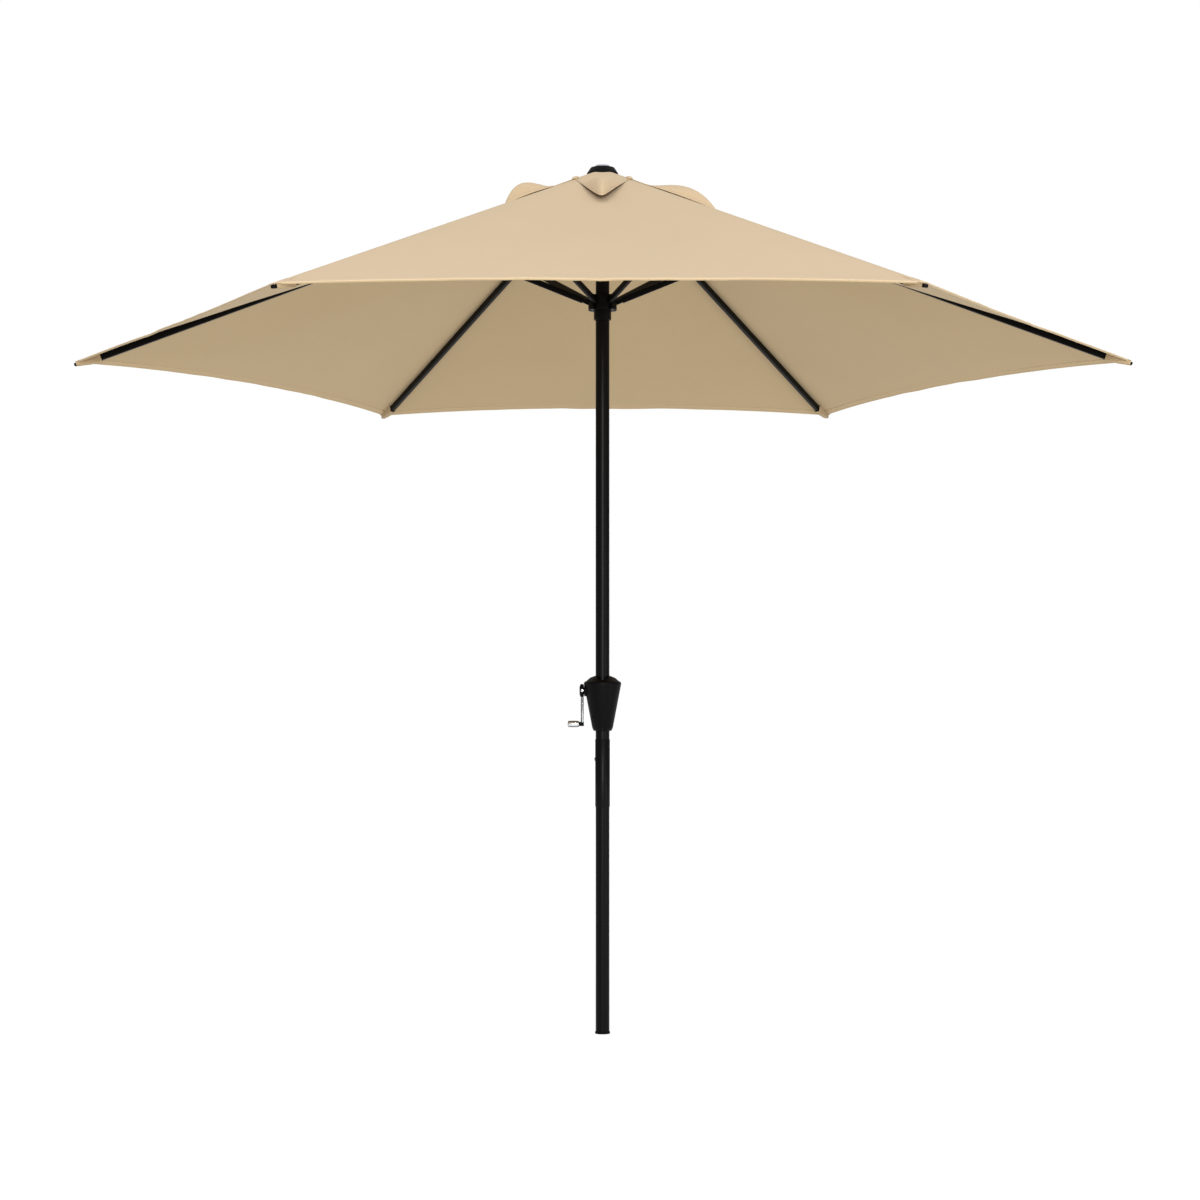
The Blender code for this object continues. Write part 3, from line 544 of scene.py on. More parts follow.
SPOKES = [Matrix.Rotation(math.radians(60 * i), 4, "Z") for i in range(6)]
RIDGE_DROP = 0.3658
rib_slope = math.atan(RIDGE_DROP)
rib_frame = Matrix.Translation((hub_radius, 0, hub_z)) @ Matrix.Rotation(rib_slope, 4, "Y")
bracket_r, bracket_z = joint["stretcher_1_hinge"]["pos_m"][::2]
bracket_local = rib_frame.inverted() @ Vector((bracket_r, 0, bracket_z))
rib_width, rib_depth, rib_length, tip_end = 0.012, 0.018, 1.452, 1.5200


def box_tube(width, depth, wall, start, end, corner=0.0016):
    """A bmesh tube along +X with rounded corners and open, lipped ends."""
    bm = bmesh.new()
    loops = []
    for inset in (0.0, wall):
        made = bmesh.ops.create_cube(bm, size=1.0)["verts"]
        bmesh.ops.scale(bm, vec=(end - start, width - 2 * inset, depth - 2 * inset), verts=made)
        bmesh.ops.translate(bm, vec=((start + end) / 2, 0, 0), verts=made)
        ends = [f for f in {f for v in made for f in v.link_faces}
                if abs(f.normal.x) > 0.9 or abs(f.calc_center_median().y) < 1e-9
                and abs(f.calc_center_median().z) < 1e-9]
        bmesh.ops.delete(bm, geom=ends, context="FACES_ONLY")
        long_edges = [e for e in {e for v in made for e in v.link_edges}
                      if abs(e.verts[0].co.x - e.verts[1].co.x) > 0.01]
        bmesh.ops.bevel(bm, geom=long_edges, offset=max(corner - inset, 0.0004),
                        offset_type="OFFSET", segments=4, profile=0.5, affect="EDGES",
                        material=-1)
        loops.append(made)
    rims = [e for e in bm.edges if e.is_boundary]
    for x in (start, end):
        bmesh.ops.bridge_loops(bm, edges=[e for e in rims if e.is_valid
                                          and all(abs(v.co.x - x) < 1e-5 for v in e.verts)])
    return bm


def eye(bm, centre, radius, reach, height, half_width):
    """Adds a rounded lug to a bmesh: a plate with a round end about centre, back to x = reach."""
    x, z = centre
    toward = 1 if reach > x else -1
    outline = []
    for i in range(17):
        a = math.pi / 2 + math.pi * i / 16
        outline.append((x + toward * radius * math.cos(a), z + radius * math.sin(a)))
    outline += [(reach, -height), (reach, height)]
    verts = [bm.verts.new((px, -half_width, pz)) for px, pz in outline]
    face = bm.faces.new(verts)
    made = bmesh.ops.extrude_face_region(bm, geom=[face])["geom"]
    moved = [v for v in made if isinstance(v, bmesh.types.BMVert)]
    bmesh.ops.translate(bm, vec=(0, 2 * half_width, 0), verts=moved)


rib_paint = grained("rib_paint", (0.0020, 0.0020, 0.0021), 0.42, scale=1500, dust=0.002,
                    specular=0.08)
for i, spoke in enumerate(SPOKES, 1):
    rib = box_tube(rib_width, rib_depth, 0.0012, 0.009, rib_length)
    eye(rib, (0, 0), 0.009, 0.022, 0.0070, 0.0055)
    bmesh.ops.transform(rib, matrix=spoke @ rib_frame, verts=rib.verts)
    fitted(f"rib_tube_{i}", rib, rib_paint, f"rib_{i}", [f"rib_{i}"])

    ears = bmesh.new()
    pivot_x, pivot_z = bracket_local.x, bracket_local.z
    for side in (-1, 1):
        outline = [(pivot_x - 0.018, 0.006), (pivot_x - 0.018, -0.008)]
        outline += [(pivot_x + 0.0075 * math.cos(a), pivot_z + 0.0075 * math.sin(a))
                    for a in (math.pi * (1 + k / 12) for k in range(13))]
        outline += [(pivot_x + 0.018, -0.008), (pivot_x + 0.018, 0.006)]
        face = ears.faces.new([ears.verts.new((x, side * 0.0060, z)) for x, z in outline])
        made = bmesh.ops.extrude_face_region(ears, geom=[face])["geom"]
        moved = [v for v in made if isinstance(v, bmesh.types.BMVert)]
        bmesh.ops.translate(ears, vec=(0, side * 0.0013, 0), verts=moved)
    for x, z, length in ((pivot_x, pivot_z, 0.0082), (pivot_x - 0.012, -0.001, 0.0080),
                         (pivot_x + 0.012, -0.001, 0.0080)):
        bmesh.ops.create_cone(
            ears, cap_ends=True, segments=24, radius1=0.0024, radius2=0.0024,
            depth=2 * length, matrix=Matrix.Translation((x, 0, z))
            @ Matrix.Rotation(math.pi / 2, 4, "X"))
        for side in (-1, 1):
            bmesh.ops.create_uvsphere(
                ears, u_segments=24, v_segments=12, radius=0.0040,
                matrix=Matrix.Translation((x, side * (length - 0.0010), z))
                @ Matrix.Diagonal((1, 0.45, 1, 1)))
    bmesh.ops.transform(ears, matrix=spoke @ rib_frame, verts=ears.verts)
    fitted(f"rib_bracket_{i}", ears, black_steel, f"rib_{i}")

    end_cap = bmesh.new()
    length = tip_end - rib_length - 0.0003
    bmesh.ops.create_cube(end_cap, size=1.0)
    bmesh.ops.scale(end_cap, vec=(length, 0.0124, 0.0184), verts=end_cap.verts)
    bmesh.ops.translate(end_cap, vec=(tip_end - length / 2, 0, 0), verts=end_cap.verts)
    for vert in end_cap.verts:      # the underside rises, so that the plug narrows to a blunt tip
        if vert.co.x > tip_end - 0.001 and vert.co.z < 0:
            vert.co.z = 0.0012
    bmesh.ops.bevel(end_cap, geom=end_cap.edges[:], offset=0.0018, segments=4, profile=0.5,
                    affect="EDGES", material=-1)
    bmesh.ops.transform(end_cap, matrix=spoke @ rib_frame, verts=end_cap.verts)
    fitted(f"rib_end_{i}", end_cap, black_nylon, f"rib_{i}", [f"rib_tip_{i}"])


# --- Stretchers ---
# Six shorter tubes with pressed lugs at both ends: one on the rib's rivet, the other on a pin in
# the runner's slot.

runner_r, runner_z = 0.040, 2.014
reach = Vector((runner_r - bracket_r, runner_z - bracket_z))
stretch_length = reach.length
stretch_turn = math.pi - math.atan2(-reach.y, -reach.x)
stretch_frame = (Matrix.Translation((bracket_r, 0, bracket_z))
                 @ Matrix.Rotation(stretch_turn, 4, "Y"))
for i, spoke in enumerate(SPOKES, 1):
    bar = box_tube(0.0098, 0.0160, 0.0011, 0.016, stretch_length - 0.016, 0.0014)
    eye(bar, (0, 0), 0.0062, 0.026, 0.0048, 0.0043)
    eye(bar, (stretch_length, 0), 0.0062, stretch_length - 0.026, 0.0048, 0.0043)
    bmesh.ops.create_cone(bar, cap_ends=True, segments=16, radius1=0.0016, radius2=0.0016,
                          depth=0.012, matrix=Matrix.Translation((stretch_length, 0, 0))
                          @ Matrix.Rotation(math.pi / 2, 4, "X"))
    bmesh.ops.transform(bar, matrix=spoke @ stretch_frame, verts=bar.verts)
    fitted(f"stretcher_tube_{i}", bar, rib_paint, f"stretcher_{i}", [f"stretcher_{i}"])


# --- Canopy: ridge strips ---
# Cream polyester canvas in six gores, sewn together along the ribs with felled seams. These are
# the strips over the ribs, which turn with them and don't gather when the umbrella closes.

APEX_Z = 2.386
TIP_RADIUS = 1.46
HEM_CURVE = 0.048
HOLLOW = 0.026
VENT_RADIUS = 0.125
STRIP = 0.0256
COS30, SIN30 = math.cos(math.pi / 6), math.sin(math.pi / 6)
SIDE_DROP = RIDGE_DROP * math.tan(math.pi / 6)
GORE_UP = [Vector((RIDGE_DROP, side * SIDE_DROP, 1)).normalized() for side in (1, -1)]
vent_out = VENT_RADIUS * COS30
hem_half = TIP_RADIUS * SIN30


def hem_out(across):
    """Distance out along a gore's middle line to the hem, at a distance across from it."""
    return TIP_RADIUS * COS30 - HEM_CURVE * (1 - min(across / hem_half, 1) ** 2)


def solve(value, low, high):
    """Where a rising function of one number passes zero."""
    for _ in range(48):
        middle = (low + high) / 2
        low, high = (low, middle) if value(middle) > 0 else (middle, high)
    return (low + high) / 2


def tent(x, y):
    """The point above (x, y) on flat gores that meet in a ridge along +X with a rounded crest."""
    crest = 0.007
    level = abs(y) if abs(y) > crest else y * y / (2 * crest) + crest / 2
    return Vector((x, y, APEX_Z - RIDGE_DROP * x - SIDE_DROP * level))


def cloth(x, y, spoke, lift=0.0):
    """The stretched canvas above (x, y) beside the ridge along +X, with its hollow and folds."""
    side, y_abs = 1 if y >= 0 else -1, abs(y)
    out, across = x * COS30 + y_abs * SIN30, x * SIN30 - y_abs * COS30
    edge = (out * SIN30 - STRIP) / COS30
    share = min(max(across / edge, -1), 1) if edge > 1e-6 else 1
    if y_abs <= STRIP:
        share = 1
    down = min(max((out - vent_out) / (TIP_RADIUS * COS30 - vent_out), 0), 1)
    gore = spoke if side > 0 else (spoke - 1) % 6
    calm = (1 - share * share) ** 2
    hollow = -HOLLOW * calm * math.sin(math.pi * down ** 0.9)
    spot = Vector((side * across * 7, out * 1.3, gore * 7.3))
    folds = 0.0022 * noise.noise(spot) + 0.0007 * noise.noise(spot * 3.1)
    flutter = 0.0014 * noise.noise(Vector((side * across * 14, 3.1, gore * 5.7))) * down ** 8
    height = hollow + calm * (folds + flutter) + lift
    return tent(x, y) + GORE_UP[0 if side > 0 else 1] * height


def spread(across_steps, along_steps, place):
    """A bmesh grid mapped by place(u, v) -> (point, flat size in metres), facing upwards."""
    bm = bmesh.new()
    layer = bm.loops.layers.uv.new("cloth")
    bmesh.ops.create_grid(bm, x_segments=across_steps, y_segments=along_steps, size=0.5)
    flat = {}
    for vert in bm.verts:
        point, flat[vert] = place(vert.co.x + 0.5, vert.co.y + 0.5)
        vert.co = point
    for face in bm.faces:
        face.smooth = True
        for loop in face.loops:
            loop[layer].uv = flat[loop.vert]
    bm.normal_update()
    if sum(face.normal.z * face.calc_area() for face in bm.faces) < 0:
        bmesh.ops.reverse_faces(bm, faces=bm.faces)
    return bm


def sewn(name, bm, look, body, nodes=(), thickness=0.0):
    """Makes a fabric piece of a bmesh without turning it over, and gives it its thickness."""
    mesh = bpy.data.meshes.new(name)
    bmesh.ops.remove_doubles(bm, verts=bm.verts, dist=1e-6)
    for edge in bm.edges:
        edge.smooth = not edge.is_boundary and edge.calc_face_angle(0) < math.radians(65)
    bm.to_mesh(mesh)
    bm.free()
    mesh.materials.append(look)
    obj = bpy.data.objects.new(name, mesh)
    bpy.context.scene.collection.objects.link(obj)
    if thickness:
        solid = obj.modifiers.new("cloth thickness", "SOLIDIFY")
        solid.thickness, solid.offset = thickness, -1.0
    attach(obj, body)
    if nodes:
        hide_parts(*nodes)
    return obj


canvas_group, canvas_in, canvas_out = new_group(
    "Canvas", [("Tone", "Color", (0.68, 0.53, 0.36, 1)), ("Threads", "Float", 1100.0)],
    [("Color", "Color"), ("Roughness", "Float"), ("Height", "Float")])
flat = add_node(canvas_group, "ShaderNodeUVMap", uv_map="cloth").outputs["UV"]
counted = toned(canvas_group, flat, canvas_in.outputs["Threads"])
thread = add_node(canvas_group, "ShaderNodeSeparateXYZ", [("Vector", counted)])
waves = [worked(canvas_group, "SINE", worked(canvas_group, "MULTIPLY", thread.outputs[way],
                                             math.pi)) for way in ("X", "Y")]
canvas_group.links.new(worked(canvas_group, "MULTIPLY", *waves), canvas_out.inputs["Height"])
slubs = []
for stretch in ((30.0, 700.0, 1.0), (700.0, 30.0, 1.0)):
    run = add_node(canvas_group, "ShaderNodeMapping", [("Vector", flat), ("Scale", stretch)])
    slubs.append(mottled(canvas_group, run.outputs["Vector"], 1.0, 2.0))
place = add_node(canvas_group, "ShaderNodeTexCoord").outputs["Object"]
cloudy = mottled(canvas_group, place, 2.2, 5.0, 0.6)
woven = worked(canvas_group, "MULTIPLY_ADD", worked(canvas_group, "ADD", *slubs), 0.5, cloudy)
# Painted shade: the canvas colour is darkened where it faces down, as if its underside lay in
# shade.
facing = add_node(canvas_group, "ShaderNodeNewGeometry").outputs["Normal"]
upward = add_node(canvas_group, "ShaderNodeSeparateXYZ", [("Vector", facing)]).outputs["Z"]
painted_underside_shade = add_node(canvas_group, "ShaderNodeMix",
                     [(0, ranged(canvas_group, upward, 0.15, -0.15)),
                      (6, (1.0, 1.0, 1.0, 1)), (7, (0.685, 0.67, 0.585, 1))],
                     data_type="RGBA").outputs[2]
shaded_tone = add_node(canvas_group, "ShaderNodeVectorMath",
                  [(0, canvas_in.outputs["Tone"]), (1, painted_underside_shade)],
                  operation="MULTIPLY").outputs["Vector"]
woven_tone_and_shade = toned(canvas_group, shaded_tone, ranged(canvas_group, woven, 0.55, 1.45, 0.955, 1.035))
canvas_group.links.new(woven_tone_and_shade, canvas_out.inputs["Color"])
canvas_group.links.new(ranged(canvas_group, cloudy, 0.0, 1.0, 0.84, 0.96),
                       canvas_out.inputs["Roughness"])

# Stitch rows: lock stitches of one thread at a distance to both sides of a line in the flat
# cloth, and the ridge that the layers of a seam raise between the rows.
stitch_group, stitch_in, stitch_out = new_group(
    "Stitch Rows", [("Row", "Float", 0.0042), ("Pitch", "Float", 0.0038)],
    [("Thread", "Float"), ("Seam", "Float")])
flat = add_node(stitch_group, "ShaderNodeUVMap", uv_map="cloth").outputs["UV"]
line = add_node(stitch_group, "ShaderNodeSeparateXYZ", [("Vector", flat)])
aside = worked(stitch_group, "ABSOLUTE", line.outputs["X"])
from_row = worked(stitch_group, "SUBTRACT", aside, stitch_in.outputs["Row"])
on_row = ranged(stitch_group, worked(stitch_group, "ABSOLUTE", from_row), 0.0009, 0.0003)
step = worked(stitch_group, "DIVIDE", line.outputs["Y"], stitch_in.outputs["Pitch"])
dash = ranged(stitch_group, worked(stitch_group, "PINGPONG", step, 0.5), 0.06, 0.16)
stitch_group.links.new(worked(stitch_group, "MULTIPLY", on_row, dash),
                       stitch_out.inputs["Thread"])
stitch_group.links.new(ranged(stitch_group, from_row, 0.0020, 0.0008),
                       stitch_out.inputs["Seam"])


def canvas(name, tone=(0.585, 0.445, 0.285), row=None, weave_bump=0.12):
    """A canvas material; row is how far its stitch rows lie from the cloth's zero line."""
    material = bpy.data.materials.new(name)
    material.use_nodes = True
    tree = material.node_tree
    shader = tree.nodes["Principled BSDF"]
    shader.inputs["Specular IOR Level"].default_value = 0.22
    shader.inputs["Sheen Weight"].default_value = 0.08
    woven_cloth = add_node(tree, "ShaderNodeGroup", node_tree=canvas_group)
    woven_cloth.inputs["Tone"].default_value = (*tone, 1)
    bump = add_node(tree, "ShaderNodeBump",
                    [("Height", woven_cloth.outputs["Height"]), ("Strength", weave_bump),
                     ("Distance", 0.0003)])
    colour = woven_cloth.outputs["Color"]
    if row is not None:
        rows = add_node(tree, "ShaderNodeGroup", node_tree=stitch_group)
        rows.inputs["Row"].default_value = row
        shade = add_node(tree, "ShaderNodeMix", [(0, rows.outputs["Thread"])],
                         data_type="RGBA")
        tree.links.new(colour, shade.inputs[6])
        shade.inputs[7].default_value = (tone[0] * 0.80, tone[1] * 0.78, tone[2] * 0.74, 1)
        colour = shade.outputs[2]
        ridge = add_node(tree, "ShaderNodeBump",
                         [("Height", rows.outputs["Seam"]), ("Strength", 0.5),
                          ("Distance", 0.0008), ("Normal", bump.outputs["Normal"])])
        bump = add_node(tree, "ShaderNodeBump",
                        [("Height", rows.outputs["Thread"]), ("Strength", 0.6),
                         ("Distance", 0.0005), ("Normal", ridge.outputs["Normal"])])
    tree.links.new(colour, shader.inputs["Base Color"])
    tree.links.new(woven_cloth.outputs["Roughness"], shader.inputs["Roughness"])
    tree.links.new(bump.outputs["Normal"], shader.inputs["Normal"])
    return material


plain_canvas = canvas("plain_canvas")
seam_canvas = canvas("seam_canvas", row=0.0042)
slant = math.sqrt(1 + RIDGE_DROP ** 2)
border_across = solve(lambda a: a * COS30 - hem_out(a) * SIN30 + STRIP, 0.5, hem_half)
vent_across = (vent_out * SIN30 - STRIP) / COS30


def hem_x(y):
    """How far out the hem is above a distance y from the ridge."""
    across = solve(lambda a: a * COS30 - hem_out(a) * SIN30 + abs(y), 0.3, hem_half)
    return hem_out(across) * COS30 + across * SIN30


for i, spoke in enumerate(SPOKES, 1):
    def on_ridge(u, v):
        y = (2 * u - 1) * STRIP
        start = (vent_out - abs(y) * SIN30) / COS30
        x = start + (hem_x(y) - start) * v
        return spoke @ cloth(x, y, i - 1), (y, x * slant)

    sewn(f"canopy_ridge_{i}", spread(24, 220, on_ridge), seam_canvas,
                       f"rib_{i}", [f"canopy_panel_{i}"], 0.0010)


# --- Canopy: half gores ---
# The rest of each gore, in two halves that turn with the ribs beside them. They meet along the
# gore's middle when the umbrella is open. On the way between, they stand apart there.

gore_slant = math.sqrt(1 + (RIDGE_DROP / COS30) ** 2)


def gathered(obj):
    """Gives a piece of fabric beside a rib its own copy of its mesh."""
    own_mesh(obj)


for i, spoke in enumerate(SPOKES, 1):
    for side, hand in ((1, "left"), (-1, "right")):
        def on_gore(u, v):
            across = (1 - u) * (vent_across + (border_across - vent_across) * v)
            out = vent_out + (hem_out((1 - u) * border_across) - vent_out) * v
            x = out * COS30 + across * SIN30
            y = side * max(out * SIN30 - across * COS30, STRIP)
            return spoke @ cloth(x, y, i - 1), (side * across, out * gore_slant)

        half = sewn(f"canopy_gore_{i}_{hand}", spread(90, 150, on_gore), plain_canvas,
                    f"rib_{i}", [f"canopy_panel_{i}"], 0.0010)
        gathered(half)


# --- Canopy: hems ---
# The lower edge of the canvas, turned under twice and stitched down with one row. It hangs a
# little below the surface and catches the light along its fold.

# Painted highlight: the turned-under canvas is given a lighter tone than the gores, so that its
# fold shows as a bright band.
hem_canvas = canvas("hem_canvas", tone=(0.62, 0.475, 0.31), row=0.0135)
HEM_SECTION = [(-0.0180, 0.0003), (-0.0090, 0.0005), (-0.0020, 0.0007), (0.0004, 0.0002),
               (0.0012, -0.0012), (0.0010, -0.0034), (0.0002, -0.0047), (-0.0012, -0.0046),
               (-0.0030, -0.0036), (-0.0090, -0.0026), (-0.0180, -0.0022)]


def banded(section, steps, edge_point):
    """A bmesh of a section swept along edge_point(u, outwards, up) -> (point, along)."""
    sides = len(section)
    bm = bmesh.new()
    layer = bm.loops.layers.uv.new("cloth")
    bmesh.ops.create_grid(bm, x_segments=steps, y_segments=sides, size=0.5)
    flat = {}
    for vert in bm.verts:
        u, ring = vert.co.x + 0.5, round((vert.co.y + 0.5) * sides) % sides
        outwards, up = section[ring]
        point, along = edge_point(u, outwards, up)
        vert.co, flat[vert] = point, (outwards, along)
    for face in bm.faces:
        for loop in face.loops:
            loop[layer].uv = flat[loop.vert]
    bmesh.ops.remove_doubles(bm, verts=bm.verts, dist=1e-6)
    bmesh.ops.holes_fill(bm, edges=[e for e in bm.edges if e.is_boundary])
    bmesh.ops.recalc_face_normals(bm, faces=bm.faces)
    for face in bm.faces:
        face.smooth = True
    return bm


for i, spoke in enumerate(SPOKES, 1):
    for side, hand in ((1, "left"), (-1, "right")):
        def gore_hem(u, outwards, up):
            across = (1 - u) * border_across
            out = hem_out(across)
            x = out * COS30 + across * SIN30
            y = side * max(out * SIN30 - across * COS30, STRIP)
            point = cloth(x, y, i - 1, up)
            point += Vector((COS30, side * SIN30, -RIDGE_DROP / COS30)) * outwards / gore_slant
            return spoke @ point, across

        band = sewn(f"hem_{i}_{hand}", banded(HEM_SECTION, 90, gore_hem), hem_canvas, f"rib_{i}")
        gathered(band)

    def tip_hem(u, outwards, up):
        y = (2 * u - 1) * STRIP
        point = cloth(hem_x(y), y, i - 1, up)
        lean = min(max(y / 0.012, -1), 1)
        toward = Vector((COS30 + (1 - COS30) * (1 - abs(lean)), SIN30 * lean,
                         -RIDGE_DROP / COS30)) / gore_slant
        return spoke @ (point + toward * outwards), y

    sewn(f"hem_{i}_corner", banded(HEM_SECTION, 24, tip_hem), hem_canvas, f"rib_{i}")


# --- Canopy: corner pockets ---
# Sleeves of the same canvas sewn under each corner. The plugged end of the rib sits in one, and
# only the last few millimetres of the plug show.

# Painted shade: the same canvas in a darker tone, as though shaded under the corner.
pocket_canvas = canvas("pocket_canvas", tone=(0.50, 0.375, 0.235), row=0.0140)
POCKET = [(-0.0135, 0.0110), (-0.0095, 0.0104), (-0.0078, 0.0085), (-0.0076, 0.0),
          (-0.0076, -0.0075), (-0.0066, -0.0102), (-0.0040, -0.0110), (0.0, -0.0112),
          (0.0040, -0.0110), (0.0066, -0.0102), (0.0076, -0.0075), (0.0076, 0.0),
          (0.0078, 0.0085), (0.0095, 0.0104), (0.0135, 0.0110)]
pocket_start, pocket_end = 1.4430, 1.5135
for i, spoke in enumerate(SPOKES, 1):
    def in_pocket(u, v):
        reach = u * (len(POCKET) - 1)
        at = min(int(reach), len(POCKET) - 2)
        a, b = Vector(POCKET[at]), Vector(POCKET[at + 1])
        y, z = a + (b - a) * (reach - at)
        x = pocket_start + (pocket_end - pocket_start) * v
        loose = 0.0011 * math.sin(math.pi * v) + 0.0009 * noise.noise(
            Vector((x * 90, y * 120, i * 3.0 + z * 40)))
        swell = 1 + loose / 0.010
        rise = max(x - rib_length + 0.004, 0) * 0.175
        slim = rise * (POCKET[0][1] - z) / (POCKET[0][1] - min(z for y, z in POCKET))
        point = Vector((x, y * swell, z if z > 0.009 else z * swell + slim))
        return spoke @ rib_frame @ point, (y * 2, x)

    bm = spread(56, 24, in_pocket)
    bmesh.ops.recalc_face_normals(bm, faces=bm.faces)
    sewn(f"corner_pocket_{i}", bm, pocket_canvas, f"rib_{i}", (), 0.0007)

for i in range(1, 7):
    rib = f"rib_tube_{i}"
    for side in (1, -1):
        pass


# --- Vent cap: strips and petals ---
# A second, smaller canopy of the same canvas, clamped under the finial and stitched down at each
# rib. Between the ribs its six petals stand clear of the canopy, so that wind can escape.

CAP_INNER, CAP_PINNED, CAP_LIFT, PETAL_NOSE = 0.045, 0.150, 0.0017, 0.042
PETALS = [(0.335, 0.172, 0.034, 0.03), (0.330, 0.175, 0.032, 0.0), (0.320, 0.178, 0.035, -0.03),
          (0.302, 0.182, 0.037, -0.06), (0.342, 0.170, 0.030, -0.04), (0.352, 0.174, 0.031, 0.06)]
cap_canvas = canvas("cap_canvas")


def petal_outline(gore):
    """The two numbers that give a petal's outline, a V with a rounded nose."""
    peak = PETALS[gore][0] + PETAL_NOSE
    spread_squared = ((peak - CAP_PINNED * COS30) ** 2 - PETAL_NOSE ** 2) / (
        CAP_PINNED * SIN30) ** 2
    return peak, spread_squared


def petal_radius(turn, gore):
    """How far out the cap's edge is at an angle from the rib."""
    peak, k = petal_outline(gore)
    lean = math.pi / 6 - min(abs(turn), math.pi / 6)
    c, q = math.cos(lean), peak ** 2 - PETAL_NOSE ** 2
    return q / (peak * c + math.sqrt((peak * c) ** 2 - (c * c - k * (1 - c * c)) * q))


def cap_surface(x, y, spoke, up=0.0):
    """The cap above (x, y): tight as far as the ribs' stitches, and a puffed flap beyond."""
    side = 1 if y >= 0 else -1
    gore = spoke if side > 0 else (spoke - 1) % 6
    tip, start, high, lean = PETALS[gore]
    out, across = x * COS30 + abs(y) * SIN30, x * SIN30 - abs(y) * COS30
    peak, k = petal_outline(gore)
    reach = min(max((out - start) / (tip - start), 0), 1)
    wide = math.sqrt(max((peak - out) ** 2 - PETAL_NOSE ** 2, 1e-8) / k)
    aside = min(abs(across) / wide, 1)
    bow = 1 - aside ** 2
    rise = high * math.sin(math.pi * reach) ** 0.8 * (0.97 * bow + 0.03 + side * lean * aside)
    return tent(x, y) + GORE_UP[0 if side > 0 else 1] * (CAP_LIFT + rise + up)


def edge_turn(y, gore):
    """The angle from the rib at which the cap's edge is y away from the rib's middle."""
    return solve(lambda t: petal_radius(t, gore) * math.sin(t) - abs(y), 0.0, math.pi / 6)


corner_x = STRIP / math.tan(math.pi / 6)
for i, spoke in enumerate(SPOKES, 1):
    def on_cap_ridge(u, v):
        y = (2 * u - 1) * STRIP
        gore = i - 1 if y >= 0 else (i - 2) % 6
        turn = edge_turn(y, gore)
        near = max(math.sqrt(max(CAP_INNER ** 2 - y * y, 0)), abs(y) / math.tan(math.pi / 6))
        x = near + (petal_radius(turn, gore) * math.cos(turn) - near) * v
        return spoke @ cap_surface(x, y, i - 1), (y, x * slant)

    sewn(f"vent_ridge_{i}", spread(24, 30, on_cap_ridge), seam_canvas,
                            f"rib_{i}", [f"vent_cap_{i}"], 0.0009)
    for side, hand in ((1, "left"), (-1, "right")):
        gore = i - 1 if side > 0 else (i - 2) % 6
        border_turn = edge_turn(STRIP, gore)
        border_radius = petal_radius(border_turn, gore)

        def petal_place(u, v):
            turn_out = border_turn + (math.pi / 6 - border_turn) * u
            shape = ((petal_radius(turn_out, gore) - border_radius)
                     / (PETALS[gore][0] - border_radius))
            border_x = corner_x + (border_radius * math.cos(border_turn) - corner_x) * v
            near = math.hypot(border_x, STRIP)
            far = STRIP / SIN30 + (PETALS[gore][0] - STRIP / SIN30) * v
            start = math.atan2(STRIP, border_x)
            turn = start + (math.pi / 6 - start) * u
            radius = near + (far - near) * shape
            return radius * math.cos(turn), side * radius * math.sin(turn)

        def on_petal(u, v):
            x, y = petal_place(u, v)
            if u == 0:
                y = side * STRIP
            across, out = x * SIN30 - abs(y) * COS30, x * COS30 + abs(y) * SIN30
            return spoke @ cap_surface(x, y, i - 1), (side * across, out * gore_slant)

        petal = sewn(f"vent_petal_{i}_{hand}", spread(36, 40, on_petal), cap_canvas,
                     f"rib_{i}", [f"vent_cap_{i}"], 0.0009)
        gathered(petal)


# --- Vent cap: binding and tucks ---
# Narrow tape folded over the cap's edge, and a stitched tuck where each rib holds it down.

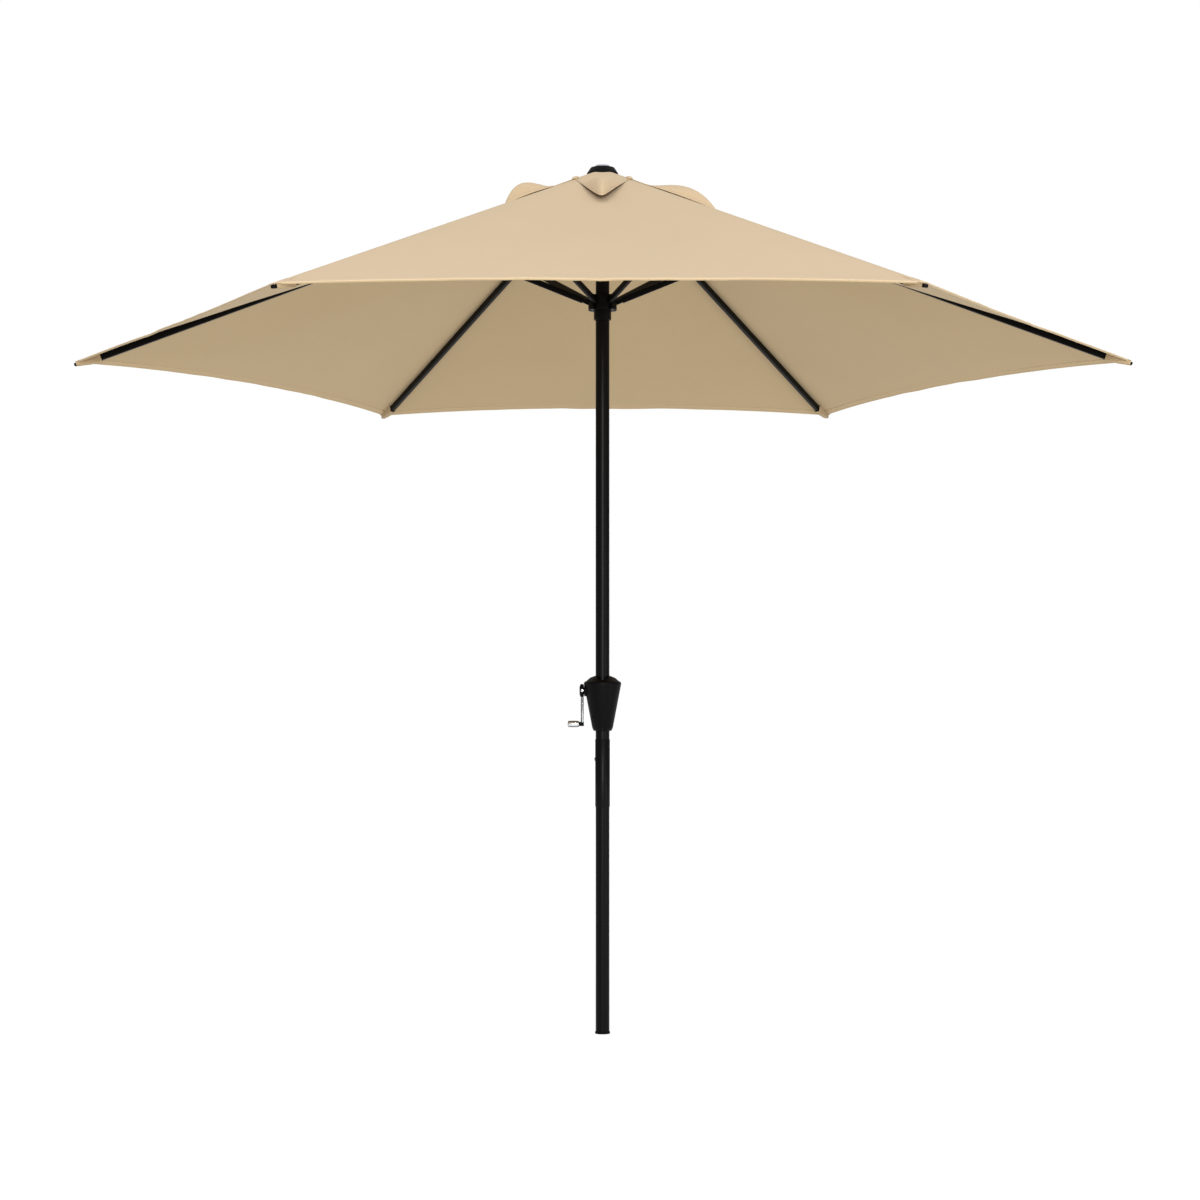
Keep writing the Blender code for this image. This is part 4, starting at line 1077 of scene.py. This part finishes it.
tape_canvas = canvas("tape_canvas", tone=(0.60, 0.46, 0.30), row=0.0045)
TAPE_SECTION = [(-0.0060, 0.0004), (-0.0030, 0.0006), (0.0002, 0.0005), (0.0009, -0.0002),
                (0.0005, -0.0010), (-0.0030, -0.0012), (-0.0060, -0.0012)]
for i, spoke in enumerate(SPOKES, 1):
    def ridge_tape(u, outwards, up):
        y = (2 * u - 1) * STRIP
        gore = i - 1 if y >= 0 else (i - 2) % 6
        turn = edge_turn(y, gore)
        radius = petal_radius(turn, gore)
        x = radius * math.cos(turn)
        scale = (radius + outwards) / radius
        return spoke @ cap_surface(x * scale, y * scale, i - 1, up), y

    tape = sewn(f"vent_tape_{i}_rib", banded(TAPE_SECTION, 24, ridge_tape), tape_canvas,
                f"rib_{i}")
    tuck = bmesh.new()
    layer = tuck.loops.layers.uv.new("cloth")
    bmesh.ops.create_uvsphere(tuck, u_segments=24, v_segments=14, radius=1.0)
    for face in tuck.faces:
        face.smooth = True
        for loop in face.loops:
            loop[layer].uv = (loop.vert.co.y * 0.008, loop.vert.co.x * 0.014)
    at = cap_surface(CAP_PINNED - 0.004, 0.0, i - 1, 0.0012)
    bmesh.ops.transform(tuck, matrix=spoke @ Matrix.Translation(at)
                        @ Matrix.Rotation(rib_slope, 4, "Y")
                        @ Matrix.Diagonal((0.013, 0.0085, 0.0050, 1)), verts=tuck.verts)
    sewn(f"vent_tuck_{i}", tuck, cap_canvas, f"rib_{i}")
    for side, hand in ((1, "left"), (-1, "right")):
        gore = i - 1 if side > 0 else (i - 2) % 6
        border_turn = edge_turn(STRIP, gore)

        def petal_tape(u, outwards, up):
            turn = border_turn + (math.pi / 6 - border_turn) * u
            radius = petal_radius(turn, gore)
            x, y = radius * math.cos(turn), side * radius * math.sin(turn)
            scale = (radius + outwards) / radius
            return spoke @ cap_surface(x * scale, y * scale, i - 1, up), u * 0.16

        edge = sewn(f"vent_tape_{i}_{hand}", banded(TAPE_SECTION, 44, petal_tape), tape_canvas,
                    f"rib_{i}")
        gathered(edge)


# --- Floor and light ---
# White sweep in a bright, soft studio. A narrow lamp in front of the pole draws its highlight, a
# large one on the right lights the top, and weak ones above and low on the right fill in.

floor = bpy.data.meshes.new("floor")
bm = bmesh.new()
bmesh.ops.create_grid(bm, x_segments=1, y_segments=1, size=40)
bm.to_mesh(floor)
bm.free()
floor_look = bpy.data.materials.new("white_sweep")
floor_look.use_nodes = True
shader = floor_look.node_tree.nodes["Principled BSDF"]
shader.inputs["Base Color"].default_value = (0.30, 0.30, 0.30, 1)
shader.inputs["Roughness"].default_value = 0.95
shader.inputs["Specular IOR Level"].default_value = 0.0
shader.inputs["Emission Color"].default_value = (1, 1, 1, 1)
shader.inputs["Emission Strength"].default_value = 0.82
floor.materials.append(floor_look)
sweep = bpy.data.objects.new("floor", floor)
bpy.context.scene.collection.objects.link(sweep)


def soft_light(name, at, towards, size, power, tone=(1, 1, 1)):
    lamp = bpy.data.lights.new(name, "AREA")
    lamp.shape, lamp.size, lamp.size_y = "RECTANGLE", size[0], size[1]
    lamp.energy, lamp.color = power, tone
    obj = bpy.data.objects.new(name, lamp)
    aim = (Vector(towards) - Vector(at)).to_track_quat("-Z", "Y").to_matrix().to_4x4()
    obj.matrix_world = Matrix.Translation(at) @ aim
    bpy.context.scene.collection.objects.link(obj)


soft_light("key", (3.6, -7.0, 3.6), (0, 0, 1.8), (2.4, 2.4), 60)
soft_light("front", (0.30, -8.0, 2.1), (0, 0, 1.4), (0.5, 1.2), 330)
soft_light("top", (0, -0.5, 6.5), (0, 0, 0), (5.0, 5.0), 25)
soft_light("low", (3.8, -2.6, 0.5), (-0.8, 0, 2.0), (1.6, 1.6), 40)

world = bpy.data.worlds.new("white_studio")
world.use_nodes = True
bpy.context.scene.world = world
sky = world.node_tree
background = sky.nodes["Background"]
direction = add_node(sky, "ShaderNodeTexCoord").outputs["Generated"]
height = add_node(sky, "ShaderNodeSeparateXYZ", [("Vector", direction)]).outputs["Z"]
looked_at = add_node(sky, "ShaderNodeLightPath").outputs["Is Camera Ray"]
brightness = worked(sky, "MAXIMUM", looked_at, ranged(sky, height, 0.0, 0.8, 0.10, 1.0))
background.inputs["Color"].default_value = (1, 1, 1, 1)
sky.links.new(brightness, background.inputs["Strength"])
bpy.context.scene.view_settings.view_transform = "Standard"
